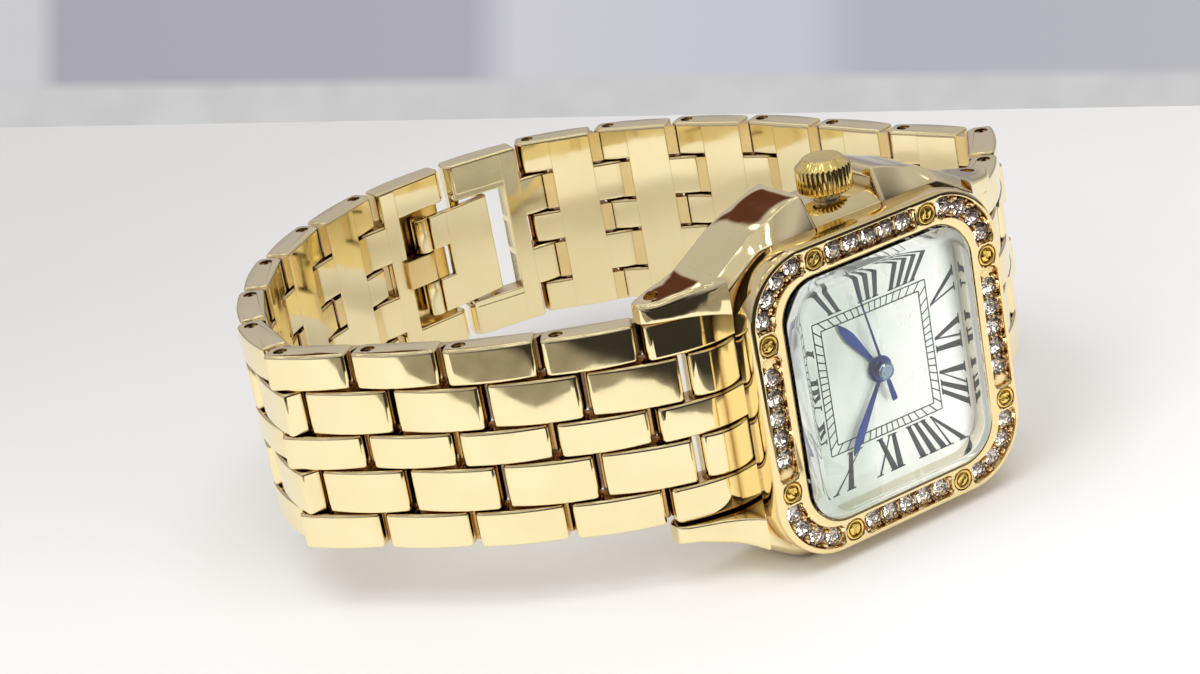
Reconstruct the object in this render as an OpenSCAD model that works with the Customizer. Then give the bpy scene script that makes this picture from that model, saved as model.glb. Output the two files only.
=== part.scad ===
// Ladies' dress watch with a five-row brick-link bracelet and a hook clasp.
// It lies on its nine o'clock side: X runs from 12 to 6 o'clock, the dial faces -Y and the crown is up.
// The origin is the middle of the flat nine o'clock side, which is the face that it rests on.

/* [Bracelet] */
// distance between the hinge pins of one link
link_pitch = 6.8; // [6.4:0.1:7.4]
// bracelet width, across the five rows
band_w = 15; // [14:0.1:15.4]
// link thickness
link_t = 2.2; // [2:0.05:2.4]
// gap between two blocks of a row when the bracelet is straight
link_gap = 0.65; // [0.6:0.05:0.9]
// width of the two edge rows
edge_row_w = 2.7; // [2.4:0.05:2.9]
// width of the middle row
mid_row_w = 2.6; // [2.2:0.05:2.9]
// side clearance between two rows
row_gap = 0.1; // [0.08:0.01:0.16]
// rise of the domed outer face of a block
link_dome = 0.28; // [0.15:0.01:0.4]
// hinge pin diameter
pin_d = 1; // [0.8:0.05:1.1]
// radial running clearance of a tongue on its pin
pin_run = 0.06; // [0.04:0.01:0.1]
// radial fit of a pin in the blocks that hold it
pin_fit = 0.01; // [0.01:0.005:0.02]
// how far each pin end lies below the bracelet's edge
pin_recess = 0.15; // [0.05:0.05:0.4]
// inner corner relief at the pinned end of a block
link_relief = 0.75; // [0.4:0.05:0.9]

/* [Clasp] */
// hook plate thickness
hook_t = 0.6; // [0.5:0.05:0.65]
// hook plate width
hook_w = 8.3; // [7.6:0.1:8.5]
// hook knuckle outer diameter
knuckle_d = 1.5; // [1.4:0.05:1.6]
// hook pin diameter
hook_pin_d = 0.7; // [0.6:0.05:0.8]
// from the hook link's own hinge pin to the hook pin
hook_pin_s = 5.1; // [4.9:0.05:5.3]
// from the hook pin to the outer face of the hook's lip
hook_reach = 6.5; // [6.3:0.05:6.6]
// how far the lip stands out of the plate
lip_rise = 1.1; // [0.9:0.05:1.15]
// width of the frame link's window
window_w = 8.9; // [8.8:0.05:9.1]
// width of the crossbar that the hook holds
crossbar_w = 0.85; // [0.7:0.05:0.95]
// crossbar thickness
crossbar_t = 1.1; // [0.9:0.05:1.15]

/* [Case] */
// case width from the three to the nine o'clock side
case_w = 24.6; // [24:0.1:25.4]
// distance between the two lug pins
lug_span = 27.8; // [27.4:0.1:28.6]
// case height from the back to the front of the body, without the bezel
case_t = 5.9; // [5.8:0.05:6.2]
// distance from the lug pin to the plane of the case back
lug_back = 1.3; // [1.25:0.05:1.5]
// half width of the case at the lug tips
lug_half = 9; // [8.6:0.1:9.3]
// lug reach past its pin
lug_tip = 1.5; // [1.3:0.05:1.7]
// height of the two crown guards
guard_h = 1.2; // [0.8:0.05:1.4]
// slope of the case fingers that hold the bracelet
finger_tilt = 15; // [12:1:18]

/* [Bezel and crystal] */
// bezel width from 12 to 6 o'clock
bezel_w = 21.4; // [21:0.1:21.8]
// bezel width from 3 to 9 o'clock
bezel_span = 22.6; // [22.2:0.1:23]
// bezel height above the case
bezel_h = 2.1; // [2:0.05:2.3]
// crystal opening from 12 to 6 o'clock
open_w = 15.8; // [15.4:0.1:16.2]
// crystal opening from 3 to 9 o'clock
open_span = 17.8; // [17.4:0.1:18]
// from the bezel's outer edge to the middle of the row of stones
row_inset = 1.2; // [1.1:0.05:1.3]
// stone diameter
stone_d = 1.34; // [1.2:0.01:1.4]
// diameter of the round slotted heads between the stones
disc_d = 1.5; // [1.3:0.01:1.52]
// depth of the channel that the stones lie in
channel_h = 0.35; // [0.25:0.05:0.45]
// crystal height
crystal_h = 1.9; // [1.8:0.05:2.1]
// crystal edge bevel
crystal_bevel = 0.7; // [0.5:0.05:0.8]

/* [Dial and hands] */
// dial thickness
dial_t = 0.4; // [0.3:0.05:0.5]
// hour hand length
hour_len = 5.3; // [4.6:0.1:5.8]
// minute hand length
minute_len = 6.3; // [5.8:0.1:6.8]
// second hand length
second_len = 6.7; // [6:0.1:7]
// hour hand angle from 12 o'clock at rest
hour_at = 55.4; // [0:0.1:360]
// minute hand angle from 12 o'clock at rest
minute_at = 303; // [0:0.1:360]
// second hand angle from 12 o'clock at rest
second_at = 78; // [0:0.1:360]

/* [Crown] */
// crown diameter
crown_d = 4; // [3.6:0.1:4.4]
// crown height
crown_h = 2.4; // [2:0.1:2.8]
// number of flutes
crown_flutes = 32; // [24:1:36]
// stem diameter
stem_d = 0.8; // [0.7:0.05:0.9]

/* [Movement] */
// movement width
move_w = 14.8; // [14.6:0.1:15]
// wall of the ring around the movement
ring_wall = 1.9; // [1.7:0.05:2]
// battery diameter
battery_d = 5.8; // [5.4:0.1:6]
// battery thickness
battery_t = 2.1; // [1.9:0.1:2.2]

/* [Hidden] */
$fn = 64;

gold = [0.88, 0.70, 0.36];
pale_gold = [0.90, 0.78, 0.50];
steel = [0.75, 0.76, 0.78];
brass = [0.80, 0.66, 0.36];
blue = [0.08, 0.18, 0.62];
black = [0.12, 0.12, 0.13];
eps = 0.01;

// turns between one link and the next, counted from the lug outwards
twelve_turns = [8, 10, 2, 46, 17, 11, 15, 14, 19];
six_turns = [10, 61, -5, 2, 11, 11, 16, 24];

// a block reaches half its thickness past its pin, so both ends swing clear
half_t = link_t / 2;
block_len = link_pitch - link_gap;
wide_row_w = (band_w - 2 * edge_row_w - mid_row_w - 4 * row_gap) / 2;
edge_z = band_w / 2 - edge_row_w / 2;
wide_z = mid_row_w / 2 + row_gap + wide_row_w / 2;
dome_r = (block_len * block_len / 4 + link_dome * link_dome) / (2 * link_dome);
pin_r = pin_d / 2;
pin_len = band_w - 2 * pin_recess;
// where the blocks of the edge rows start and end, and those of the wide rows
odd_from = half_t + link_gap;
odd_to = link_pitch + half_t;
even_from = -half_t;
even_to = even_from + block_len;

// plan of the two halves: h is the turn away from the line of the dial
function sum(v, n, i = 0) = i >= n ? 0 : v[i] + sum(v, n, i + 1);
function heading(turns, first, k) = first + sum(turns, k);
function step(h) = [cos(h), sin(h)];
function pin_at(turns, first, k) =
    k == 0 ? [0, 0] : pin_at(turns, first, k - 1) + link_pitch * step(heading(turns, first, k - 1));
function half_end(turns, n) = pin_at(turns, 0, n - 1)
    + (link_pitch + half_t + link_gap / 2) * step(heading(turns, 0, n - 1));
// the two halves meet at the clasp: each is turned about its lug pin until their ends agree
twelve_end = half_end(twelve_turns, 10);
six_end = half_end(six_turns, 9);
a_len = norm(twelve_end);
b_len = norm(six_end);
a_dir = atan2(twelve_end[1], twelve_end[0]);
b_dir = atan2(six_end[1], six_end[0]);
a_corner = acos((lug_span * lug_span + a_len * a_len - b_len * b_len) / (2 * lug_span * a_len));
b_corner = acos((lug_span * lug_span + b_len * b_len - a_len * a_len) / (2 * lug_span * b_len));
twelve_first = 180 - a_corner - a_dir;
six_first = 180 - b_corner - b_dir;

// depth positions, with the lug pins at y = 0 and the dial towards -Y
back_y = lug_back;
front_y = back_y - case_t;
lid_t = 0.8;
lid_y = back_y - lid_t;
bezel_front = front_y - bezel_h;
crystal_back = front_y - 1.2;
gasket_t = 0.2;
dial_back = front_y + dial_t;
plate_t = 1.1;
plate_back = dial_back + plate_t;
bridge_y = plate_back + 1.9;
bridge_t = 0.6;
board_y = bridge_y + bridge_t;
stem_y = plate_back + 0.9;

half_w = case_w / 2;
// the dial fills the hollow of the case
dial_w = move_w + 2 * ring_wall;
body_x = bezel_w / 2 - 0.1;
tip_x = lug_span / 2 + lug_tip;
lid_w = dial_w + 1.8;
groove_w = dial_w + 0.8;
groove_y = lid_y - 0.3;
dial_r = 2.5;
groove_r = 2.8;
lid_r = 3.2;
lip = 0.35;
open_r = 2.9;
lip_r = open_r - lip;
crystal_fit = 0.05;
crystal_r = open_r - crystal_fit;
tube_r = 0.9;
stem_r = stem_d / 2;
crown_z = half_w + 0.35;
pull = 1;

// row of the stones: five and two heads on each side, four round each corner
row_w = bezel_w - 2 * row_inset;
row_span = bezel_span - 2 * row_inset;
row_r = 3.65;
bezel_r = row_r + row_inset;
channel_half = 0.8;
stone_step = stone_d + 0.16;
head_inset = 1;
stone_sink = 0.55;
stone_crown = 0.28;
disc_h = 0.5;

// wheel places in the movement, as x and z
third_at = [1.8, 1.8];
step_at = [1.77, -1.66];
rotor_at = [3.37, -3.03];
minute_wheel_at = [-1.42, -1.41];
battery_at = (battery_d / 2 + 0.3 - move_w / 2) * [1, 1];
pillar_at = [[4.5, 3.7], [4.7, -0.9], [-0.65, -3.3]];
pillar_r = 0.45;
screw_r = 0.22;
wheel_t = 0.15;
arbor_r = 0.15;
bore_run = 0.04;

// helpers
module place() translate([0, case_t / 2 - back_y, half_w]) children();
module y_slab(y0, y1) translate([0, y1, 0]) rotate([90, 0, 0]) linear_extrude(y1 - y0) children();
module y_disc(r, y0, y1, at = [0, 0])
    translate([at[0], y1, at[1]]) rotate([90, 0, 0]) cylinder(h = y1 - y0, r = r);
module round_rect(w, d, r) {
    square([w - 2 * r, d], center = true);
    square([w, d - 2 * r], center = true);
    for (x = [-1, 1], y = [-1, 1])
        translate([x * (w / 2 - r), y * (d / 2 - r)]) circle(r);
}
module round_square(w, r) round_rect(w, w, r);
module opening(inset, r) round_rect(open_w - 2 * inset, open_span - 2 * inset, r);
module bar(s0, s1, n0, n1, z0, z1) translate([s0, n0, z0]) cube([s1 - s0, n1 - n0, z1 - z0]);

// a link's own frame: its lug-side pin at the origin, +X along the link, +Y outwards
module on_twelve(k)
    translate([-lug_span / 2, 0, 0]) mirror([1, 0, 0]) on_half(twelve_turns, twelve_first, k) children();
module on_six(k)
    translate([lug_span / 2, 0, 0]) on_half(six_turns, six_first, k) children();
module on_half(turns, first, k) {
    at = pin_at(turns, first, k);
    translate([at[0], at[1], 0]) rotate([0, 0, heading(turns, first, k)]) mirror([0, 1, 0]) children();
}

// one row block with a domed outer face and a relieved inner corner at its pinned end
module row_block(s0, s1, z, w, pinned_far) {
    corner = pinned_far ? s1 : s0;
    difference() {
        intersection() {
            bar(s0, s1, -half_t, half_t + eps, z - w / 2, z + w / 2);
            translate([(s0 + s1) / 2, half_t - dome_r, z - w])
                cylinder(h = 2 * w, r = dome_r, $fn = 180);
        }
        translate([corner, -half_t, z - w]) rotate([0, 0, 45])
            cube([link_relief, link_relief, 4 * w], center = true);
    }
}

// the three odd rows, with the pin hole at the far end
module odd_rows(s0, s1) {
    for (z = [-edge_z, edge_z])
        row_block(s0, s1, z, edge_row_w, true);
    row_block(s0, s1, 0, mid_row_w, true);
}
module even_rows(s0, s1, pinned_far = false) {
    for (z = [-wide_z, wide_z])
        row_block(s0, s1, z, wide_row_w, pinned_far);
}
module through(s, r) translate([s, 0, -band_w]) cylinder(h = 2 * band_w, r = r);
module hinge_pin(s) translate([s, 0, -pin_len / 2]) cylinder(h = pin_len, r = pin_r);

// the part of the casting that joins the five rows side by side
module web(s0, s1) bar(s0, s1, -half_t, half_t - 0.5, -band_w / 2 + 0.2, band_w / 2 - 0.2);

module link() {
    color(gold) difference() {
        union() {
            odd_rows(odd_from, odd_to);
            even_rows(even_from, even_to);
            web(odd_from + 0.1, even_to - 0.1);
        }
        through(0, pin_r + pin_run);
        through(link_pitch, pin_r + pin_fit);
    }
    color(pale_gold) hinge_pin(link_pitch);
}

rail_end = odd_to;
bridge_end = odd_from + 1.6;
crossbar_end = rail_end - 0.15;
crossbar_out = half_t - 0.2;
window_half = window_w / 2;
hook_half = hook_w / 2;
knuckle_r = knuckle_d / 2;
hook_drop = 0.45;
hook_n = -half_t + knuckle_r - hook_drop;
plate_in = hook_n - knuckle_r;
knuckle_half = mid_row_w / 2 - row_gap;
slot_len = 1.3;

// last link of the twelve o'clock half: two rails, with the hook's knuckle between them
module hook_link() {
    color(gold) difference() {
        union() {
            for (z = [-edge_z, edge_z])
                row_block(odd_from, rail_end, z, edge_row_w, true);
            row_block(odd_from, bridge_end, 0, mid_row_w, false);
            even_rows(even_from, bridge_end);
            web(odd_from + 0.1, bridge_end);
            bar(bridge_end - eps, hook_pin_s, plate_in, plate_in + knuckle_d, -knuckle_half, knuckle_half);
            translate([hook_pin_s, hook_n, -knuckle_half]) cylinder(h = 2 * knuckle_half, r = knuckle_r);
        }
        through(0, pin_r + pin_run);
        translate([hook_pin_s, hook_n, -band_w / 4])
            cylinder(h = band_w / 2, r = hook_pin_d / 2 + pin_fit);
    }
    color(pale_gold) translate([hook_pin_s, hook_n, -hook_half + 0.1])
        cylinder(h = hook_w - 0.2, r = hook_pin_d / 2);
}

// swinging hook: two knuckles, a flat plate and a lip that stands out through the window
module clasp_hook() {
    finger_z0 = knuckle_half + row_gap;
    lip_s = hook_pin_s + hook_reach;
    plate_from = hook_pin_s + knuckle_r + slot_len;
    color(gold) difference() {
        union() {
            for (side = [0, 1]) mirror([0, 0, side]) {
                translate([hook_pin_s, hook_n, finger_z0])
                    cylinder(h = hook_half - finger_z0, r = knuckle_r);
                bar(hook_pin_s, plate_from + eps, plate_in, plate_in + hook_t, finger_z0, hook_half);
            }
            bar(plate_from, lip_s, plate_in, plate_in + hook_t, -hook_half, hook_half);
            bar(lip_s - hook_t, lip_s, plate_in, plate_in + hook_t + lip_rise, -hook_half, hook_half);
        }
        translate([hook_pin_s, hook_n, -band_w])
            cylinder(h = 2 * band_w, r = hook_pin_d / 2 + pin_run);
    }
}

// first link of the six o'clock half: a frame with a window and the crossbar for the hook
module frame_link() {
    color(gold) difference() {
        union() {
            for (z = [-edge_z, edge_z])
                row_block(odd_from, rail_end, z, edge_row_w, true);
            for (side = [0, 1]) mirror([0, 0, side])
                bar(odd_from + 0.5, rail_end - 0.3, -half_t, half_t - 0.4, window_half, band_w / 2 - 0.4);
            row_block(odd_from, bridge_end, 0, mid_row_w, false);
            even_rows(even_from, bridge_end);
            web(odd_from + 0.1, bridge_end);
            bar(crossbar_end - crossbar_w, crossbar_end, crossbar_out - crossbar_t, crossbar_out,
                -band_w / 2 + 1, band_w / 2 - 1);
        }
        through(0, pin_r + pin_run);
    }
}

// height of the case outline over its middle line, at a distance x from the middle
function blend(t) = t <= 0 ? 0 : t >= 1 ? 1 : t * t * (3 - 2 * t);
function flank(x) = half_w - (half_w - lug_half - 0.5) * blend((abs(x) - 6.2) / 6.4)
    - 0.5 * blend((abs(x) - 11.8) / 3);
guard_in = crown_d / 2 + 0.8;
function guard(x) = abs(x) < guard_in ? -0.25 : guard_h * pow(1 - blend((abs(x) - guard_in) / 5.2), 1.2);
flank_step = 0.5;
case_outline = concat(
    [for (x = [-tip_x : flank_step : tip_x]) [x, -flank(x)]],
    [[tip_x, -flank(tip_x)], [tip_x, flank(tip_x)]],
    [for (x = [tip_x - flank_step : -flank_step : guard_in]) [x, flank(x) + guard(x)]],
    [[guard_in, flank(guard_in) + guard(guard_in)], [guard_in - eps, half_w + guard(0)],
     [-guard_in + eps, half_w + guard(0)], [-guard_in, flank(guard_in) + guard(guard_in)]],
    [for (x = [-guard_in - 0.1 : -flank_step : -tip_x]) [x, flank(x) + guard(x)]],
    [[-tip_x, flank(tip_x)]]);
// the case from its side: flat back, front falling to the lug tips
side_half = [[0, front_y], [body_x, front_y], [body_x + 0.9, front_y + 1.2], [lug_span / 2 - 1.2, -2.3],
    [lug_span / 2 + 0.3, -1.45], [tip_x - 0.25, -0.75], [tip_x, 0], [tip_x - 0.1, 0.55],
    [tip_x - 0.7, back_y - 0.3], [lug_span / 2 - 0.4, back_y], [0, back_y]];
case_side = concat(side_half,
    [for (i = [len(side_half) - 2 : -1 : 1]) [-side_half[i][0], side_half[i][1]]]);

module case_block() {
    intersection() {
        y_slab(front_y, back_y) polygon(case_outline);
        translate([0, 0, -case_w]) linear_extrude(2 * case_w) polygon(case_side);
    }
}

// fingers of the case that take the first link, drawn in the frame of the lug pin
module case_fingers() {
    root = -(lug_span / 2 - body_x) - 1.2;
    odd_rows(root, half_t);
    even_rows(root, -half_t - link_gap, true);
    web(root, -half_t - link_gap - 0.1);
}

module at_lugs() for (side = [0, 1])
    mirror([side, 0, 0]) translate([lug_span / 2, 0, 0]) rotate([0, 0, finger_tilt])
        mirror([0, 1, 0]) children();

module case_body() color(gold) difference() {
    union() {
        difference() {
            case_block();
            for (side = [-1, 1])
                translate([side * (body_x + case_w / 2), 0, 0])
                    cube([case_w, 2 * case_t, band_w + 2 * row_gap], center = true);
        }
        difference() {
            at_lugs() case_fingers();
            y_slab(back_y, 3 * back_y) square(3 * case_w, center = true);
        }
    }
    y_slab(front_y - 1, back_y + 1) round_square(dial_w, dial_r);
    y_slab(lid_y, back_y + 1) round_square(lid_w, lid_r);
    y_slab(groove_y, lid_y) round_square(groove_w, groove_r);
    translate([0, stem_y, dial_w / 2 - 1]) cylinder(h = half_w, r = tube_r);
    for (side = [-1, 1]) {
        translate([side * lug_span / 2, 0, -case_w]) cylinder(h = 2 * case_w, r = pin_r + pin_fit);
    }
}

module lug_pins() color(pale_gold) for (side = [-1, 1])
    translate([side * lug_span / 2, 0, -lug_half + 0.35]) cylinder(h = 2 * lug_half - 0.7, r = pin_r);

// places of the bezel's stones and heads: one side, then its corner, four times
module on_side(i) rotate([0, 90 * i, 0]) children();
function reach(i) = (i % 2 == 0 ? row_span : row_w) / 2;
function run(i) = (i % 2 == 0 ? row_w : row_span) / 2 - row_r;
module at_stones() for (i = [0 : 3]) on_side(i) {
    for (k = [-2 : 2]) translate([k * stone_step, 0, reach(i)]) children();
    for (k = [0 : 3]) {
        a = (k + 0.5) * 22.5;
        translate([run(i) + row_r * sin(a), 0, reach(i) - row_r + row_r * cos(a)]) children();
    }
}
module at_discs() for (i = [0 : 3]) on_side(i)
    for (side = [-1, 1]) translate([side * (run(i) - head_inset), 0, reach(i)]) children();

floor_y = bezel_front + channel_h;

module bezel() color(gold) difference() {
    y_slab(bezel_front, front_y) round_rect(bezel_w, bezel_span, bezel_r);
    y_slab(bezel_front - 1, crystal_back) opening(0, open_r);
    y_slab(bezel_front - 1, front_y + 1) opening(lip, lip_r);
    y_slab(bezel_front - 1, floor_y) difference() {
        round_rect(row_w + 2 * channel_half, row_span + 2 * channel_half, row_r + channel_half);
        round_rect(row_w - 2 * channel_half, row_span - 2 * channel_half, row_r - channel_half);
    }
    at_stones() y_disc(stone_d / 2 + 0.02, floor_y - 1, floor_y + stone_sink);
    at_discs() y_disc(disc_d / 2, floor_y - 1, floor_y + disc_h - 0.3);
}

module bezel_stones() color([0.9, 0.92, 0.95]) at_stones()
    translate([0, floor_y + stone_sink, 0]) rotate([90, 0, 0]) rotate_extrude()
        polygon([[0, 0], [stone_d / 2, stone_sink - 0.05], [stone_d / 2, stone_sink + 0.03],
            [stone_d * 0.29, stone_sink + stone_crown], [0, stone_sink + stone_crown]]);

module bezel_screws() color(gold) at_discs() difference() {
    y_disc(disc_d / 2, floor_y - 0.3, floor_y + disc_h - 0.3);
    translate([0, floor_y - 0.3, 0]) rotate([0, 45, 0]) cube([2 * disc_d, 0.3, 0.26], center = true);
}

module crystal_gasket() color(black) y_slab(crystal_back - gasket_t, crystal_back) difference() {
    opening(0, open_r);
    opening(lip, lip_r);
}

module crystal() color([0.85, 0.93, 0.95, 0.5]) {
    back = crystal_back - gasket_t;
    edge = back - crystal_h + crystal_bevel;
    steps = 4;
    y_slab(edge, back) opening(crystal_fit, crystal_r);
    for (k = [1 : steps]) {
        inset = crystal_bevel * (1 - sqrt(1 - pow(k / steps, 2)));
        y_slab(edge - k * crystal_bevel / steps, edge - (k - 1) * crystal_bevel / steps)
            opening(crystal_fit + inset, crystal_r - inset);
    }
}

module dial() color([0.95, 0.95, 0.93]) difference() {
    y_slab(front_y, dial_back) round_square(dial_w, dial_r);
    y_disc(0.85, front_y - 1, dial_back + 1);
}

module case_back() color(steel) difference() {
    y_slab(lid_y, back_y) round_square(lid_w, lid_r);
    translate([lid_w / 2, back_y, 0]) cube([1, 0.7, 2.4], center = true);
}

module back_gasket() color(black) y_slab(groove_y, lid_y) difference() {
    round_square(groove_w, groove_r);
    round_square(dial_w, dial_r);
}

module crown_tube() color(steel) translate([0, stem_y, dial_w / 2]) difference() {
    cylinder(h = crown_z + 0.5 - dial_w / 2, r = tube_r);
    translate([0, 0, -1]) cylinder(h = half_w, r = stem_r + 0.15);
}

// movement
module movement_ring() color([0.86, 0.86, 0.82]) difference() {
    y_slab(dial_back, lid_y) difference() {
        round_square(dial_w, dial_r);
        square(move_w, center = true);
    }
    translate([0, stem_y, 0]) cylinder(h = dial_w, r = stem_r + 0.2);
}

module main_plate() color(brass) difference() {
    y_slab(dial_back, plate_back) square(move_w, center = true);
    y_disc(0.52, dial_back - 1, plate_back + 1);
    y_disc(1.75, dial_back - 1, dial_back + 0.5);
    y_disc(1.65, dial_back - 1, dial_back + 0.5, minute_wheel_at);
    y_disc(arbor_r + bore_run, dial_back, plate_back - 0.3, minute_wheel_at);
    for (at = [third_at, step_at, rotor_at])
        y_disc(arbor_r + bore_run, plate_back - 0.4, plate_back + 1, at);
}

module train_bridge() color(brass) difference() {
    union() {
        y_slab(bridge_y, board_y) translate([-1.1, -3.9]) square([6.3, 8.3]);
        for (at = pillar_at)
            y_disc(pillar_r, plate_back, bridge_y + eps, at);
    }
    for (at = [[0, 0], third_at, step_at, rotor_at])
        y_disc(arbor_r + bore_run, bridge_y - 1, bridge_y + 0.35, at);
    for (at = pillar_at)
        y_disc(screw_r, plate_back - 1, board_y + 1, at);
}

module bridge_screws() color(steel) for (at = pillar_at)
    y_disc(screw_r - 0.01, plate_back, board_y, at);

module circuit_board() color([0.16, 0.38, 0.24]) difference() {
    y_slab(board_y, board_y + 0.25) translate([-1.1, -7.2]) square([8.2, 11.6]);
    y_disc(0.4, board_y - 1, board_y + 1, [2.6, -5.9]);
}

module quartz_can() color(steel) translate([6.1, board_y - 0.7, -1.3]) cylinder(h = 5, r = 0.7);

core_y = board_y - 0.9;
core_z = -5.9;
coil_len = 4.2;
coil_r = 0.85;
core_r = 0.3;
magnet_r = 0.65;
module coil() color([0.72, 0.38, 0.16]) translate([1.9, core_y, core_z]) rotate([0, 90, 0]) difference() {
    cylinder(h = coil_len, r = coil_r);
    translate([0, 0, -1]) cylinder(h = coil_len + 2, r = core_r + 0.03);
}

module stator() color([0.62, 0.62, 0.64]) difference() {
    union() {
        translate([2.2, core_y, -4.5]) cube([4.8, 0.3, 2.6]);
        for (x = [1.1, 6.3]) translate([x, core_y - 0.3, -6.4]) cube([0.7, 0.6, 2.6]);
        translate([1.1, core_y - 0.3, -4.5]) cube([1.2, 0.6, 0.6]);
        translate([1.2, core_y, core_z]) rotate([0, 90, 0]) cylinder(h = 5.5, r = core_r);
    }
    y_disc(magnet_r + 0.2, core_y - 2, core_y + 2, rotor_at);
}

module battery() color(steel) {
    y_disc(battery_d / 2, plate_back + 0.35, plate_back + battery_t, battery_at);
    y_disc(battery_d / 2 - 0.5, plate_back, plate_back + 0.36, battery_at);
}

clip_len = 5.7;
clip_w = 2;
module battery_clip() color(steel)
    translate([-move_w / 2, plate_back + battery_t, battery_at[1] - clip_w / 2]) cube([clip_len, 0.2, clip_w]);

// wheels: a thin rim disc, a pinion and an arbor on one axis
module arbor(at, y0, y1, r = arbor_r) y_disc(r, y0, y1, at);
centre_y = plate_back + 0.35;
step_y = plate_back + 0.8;
third_y = plate_back + 1.15;
second_y = plate_back + 1.45;

module rotor() {
    color(steel) {
        arbor(rotor_at, plate_back - 0.3, bridge_y + 0.3);
        y_disc(0.27, step_y - 0.1, step_y + wheel_t, rotor_at);
    }
    color([0.3, 0.3, 0.32]) y_disc(magnet_r, core_y - 0.2, core_y + 0.25, rotor_at);
}
module step_wheel() color(brass) {
    arbor(step_at, plate_back - 0.3, bridge_y + 0.3);
    y_disc(1.76, step_y, step_y + wheel_t, step_at);
    y_disc(0.38, second_y - 0.1, second_y + wheel_t, step_at);
}
module third_wheel() color(brass) {
    arbor(third_at, plate_back - 0.3, bridge_y + 0.3);
    y_disc(2.2, third_y, third_y + wheel_t, third_at);
    y_disc(0.27, centre_y, centre_y + wheel_t + 0.1, third_at);
}
second_r = 0.12;
second_top = front_y - 0.85;
module second_wheel() color(brass) {
    arbor([0, 0], second_top, bridge_y + 0.3, second_r);
    y_disc(2, second_y, second_y + wheel_t);
    y_disc(0.3, third_y - 0.05, third_y + wheel_t + 0.05);
}
cannon_r = 0.45;
minute_top = front_y - 0.6;
module centre_wheel() color(brass) difference() {
    union() {
        y_disc(cannon_r, minute_top, centre_y + wheel_t);
        y_disc(2.22, centre_y, centre_y + wheel_t);
    }
    y_disc(second_r + bore_run, minute_top - 1, centre_y + 1);
}
module minute_wheel() color(brass) {
    y_disc(1.48, dial_back + 0.24, dial_back + 0.42, minute_wheel_at);
    y_disc(0.36, dial_back + 0.03, dial_back + 0.25, minute_wheel_at);
    arbor(minute_wheel_at, dial_back + 0.24, plate_back - 0.35);
}
hour_top = front_y - 0.35;
module hour_wheel() color(brass) difference() {
    union() {
        y_disc(1.58, dial_back + 0.05, dial_back + 0.18);
        y_disc(0.72, hour_top, dial_back + 0.18);
    }
    y_disc(cannon_r + bore_run, hour_top - 1, dial_back + 1);
}

// hands: drawn towards 12 o'clock, then turned to their angle
module hand(angle, y0, y1) rotate([0, angle, 0]) y_slab(y0, y1) children();
module sword(len, w, hub) {
    polygon([[0, w * 0.3], [-len * 0.62, w * 0.75], [-len, 0], [-len * 0.62, -w * 0.75], [0, -w * 0.3]]);
    circle(hub);
}
module hour_hand() color(blue) difference() {
    hand(hour_at, hour_top, hour_top + 0.12) sword(hour_len, 0.75, 1);
    y_disc(0.72, hour_top - 1, hour_top + 1);
}
module minute_hand() color(blue) difference() {
    hand(minute_at, minute_top, minute_top + 0.12) sword(minute_len, 0.62, 0.85);
    y_disc(cannon_r, minute_top - 1, minute_top + 1);
}
module second_hand() color(blue) difference() {
    union() {
        hand(second_at, second_top, second_top + 0.1) {
            translate([-second_len, -0.09]) square([second_len + 2.4, 0.18]);
            circle(0.5);
        }
        y_disc(0.5, second_top - 0.05, second_top + 0.1);
    }
    y_disc(second_r, second_top, second_top + 1);
}

// keyless works: the stem slides out with its lever and turns the crown and clutch
groove_z = 5.6;
stem_in = 3.7;
module setting_lever() color(steel) difference() {
    translate([-0.9, stem_y - 0.7, groove_z - 0.12]) cube([3.4, 1.4, 0.24]);
    translate([0, stem_y, 0]) cylinder(h = half_w, r = stem_r - 0.12);
    translate([-2, stem_y - stem_r + 0.12, 0]) cube([2, stem_d - 0.24, half_w]);
}
module stem() color(steel) translate([0, stem_y, 0]) difference() {
    translate([0, 0, stem_in]) cylinder(h = crown_z + 1.5 - stem_in, r = stem_r);
    translate([0, 0, groove_z - 0.16]) difference() {
        cylinder(h = 0.32, r = stem_r + 0.1);
        translate([0, 0, -1]) cylinder(h = 3, r = stem_r - 0.16);
    }
}
module clutch() color(steel) translate([0, stem_y, stem_in + 0.3]) difference() {
    cylinder(h = 0.8, r = 0.58);
    translate([0, 0, -1]) cylinder(h = 3, r = stem_r);
}
crown_bevel = 0.5;
flute_r = PI * crown_d / crown_flutes / 5;
module crown() color(gold) translate([0, stem_y, crown_z]) difference() {
    union() {
        cylinder(h = crown_h - crown_bevel, r = crown_d / 2);
        translate([0, 0, crown_h - crown_bevel])
            cylinder(h = crown_bevel, r1 = crown_d / 2, r2 = crown_d / 2 - 0.7);
    }
    translate([0, 0, -1]) cylinder(h = 1.6, r = tube_r + 0.15);
    cylinder(h = 1.5, r = stem_r);
    for (k = [0 : crown_flutes - 1])
        rotate([0, 0, k * 360 / crown_flutes]) translate([crown_d / 2 + 0.04, 0, -1])
            cylinder(h = crown_h + 0.45, r = flute_r, $fn = 16);
}
module crown_gasket() color(black) translate([0, stem_y, crown_z + 0.1]) difference() {
    cylinder(h = 0.3, r = tube_r + 0.15);
    translate([0, 0, -1]) cylinder(h = 2, r = tube_r + 0.02);
}

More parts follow.
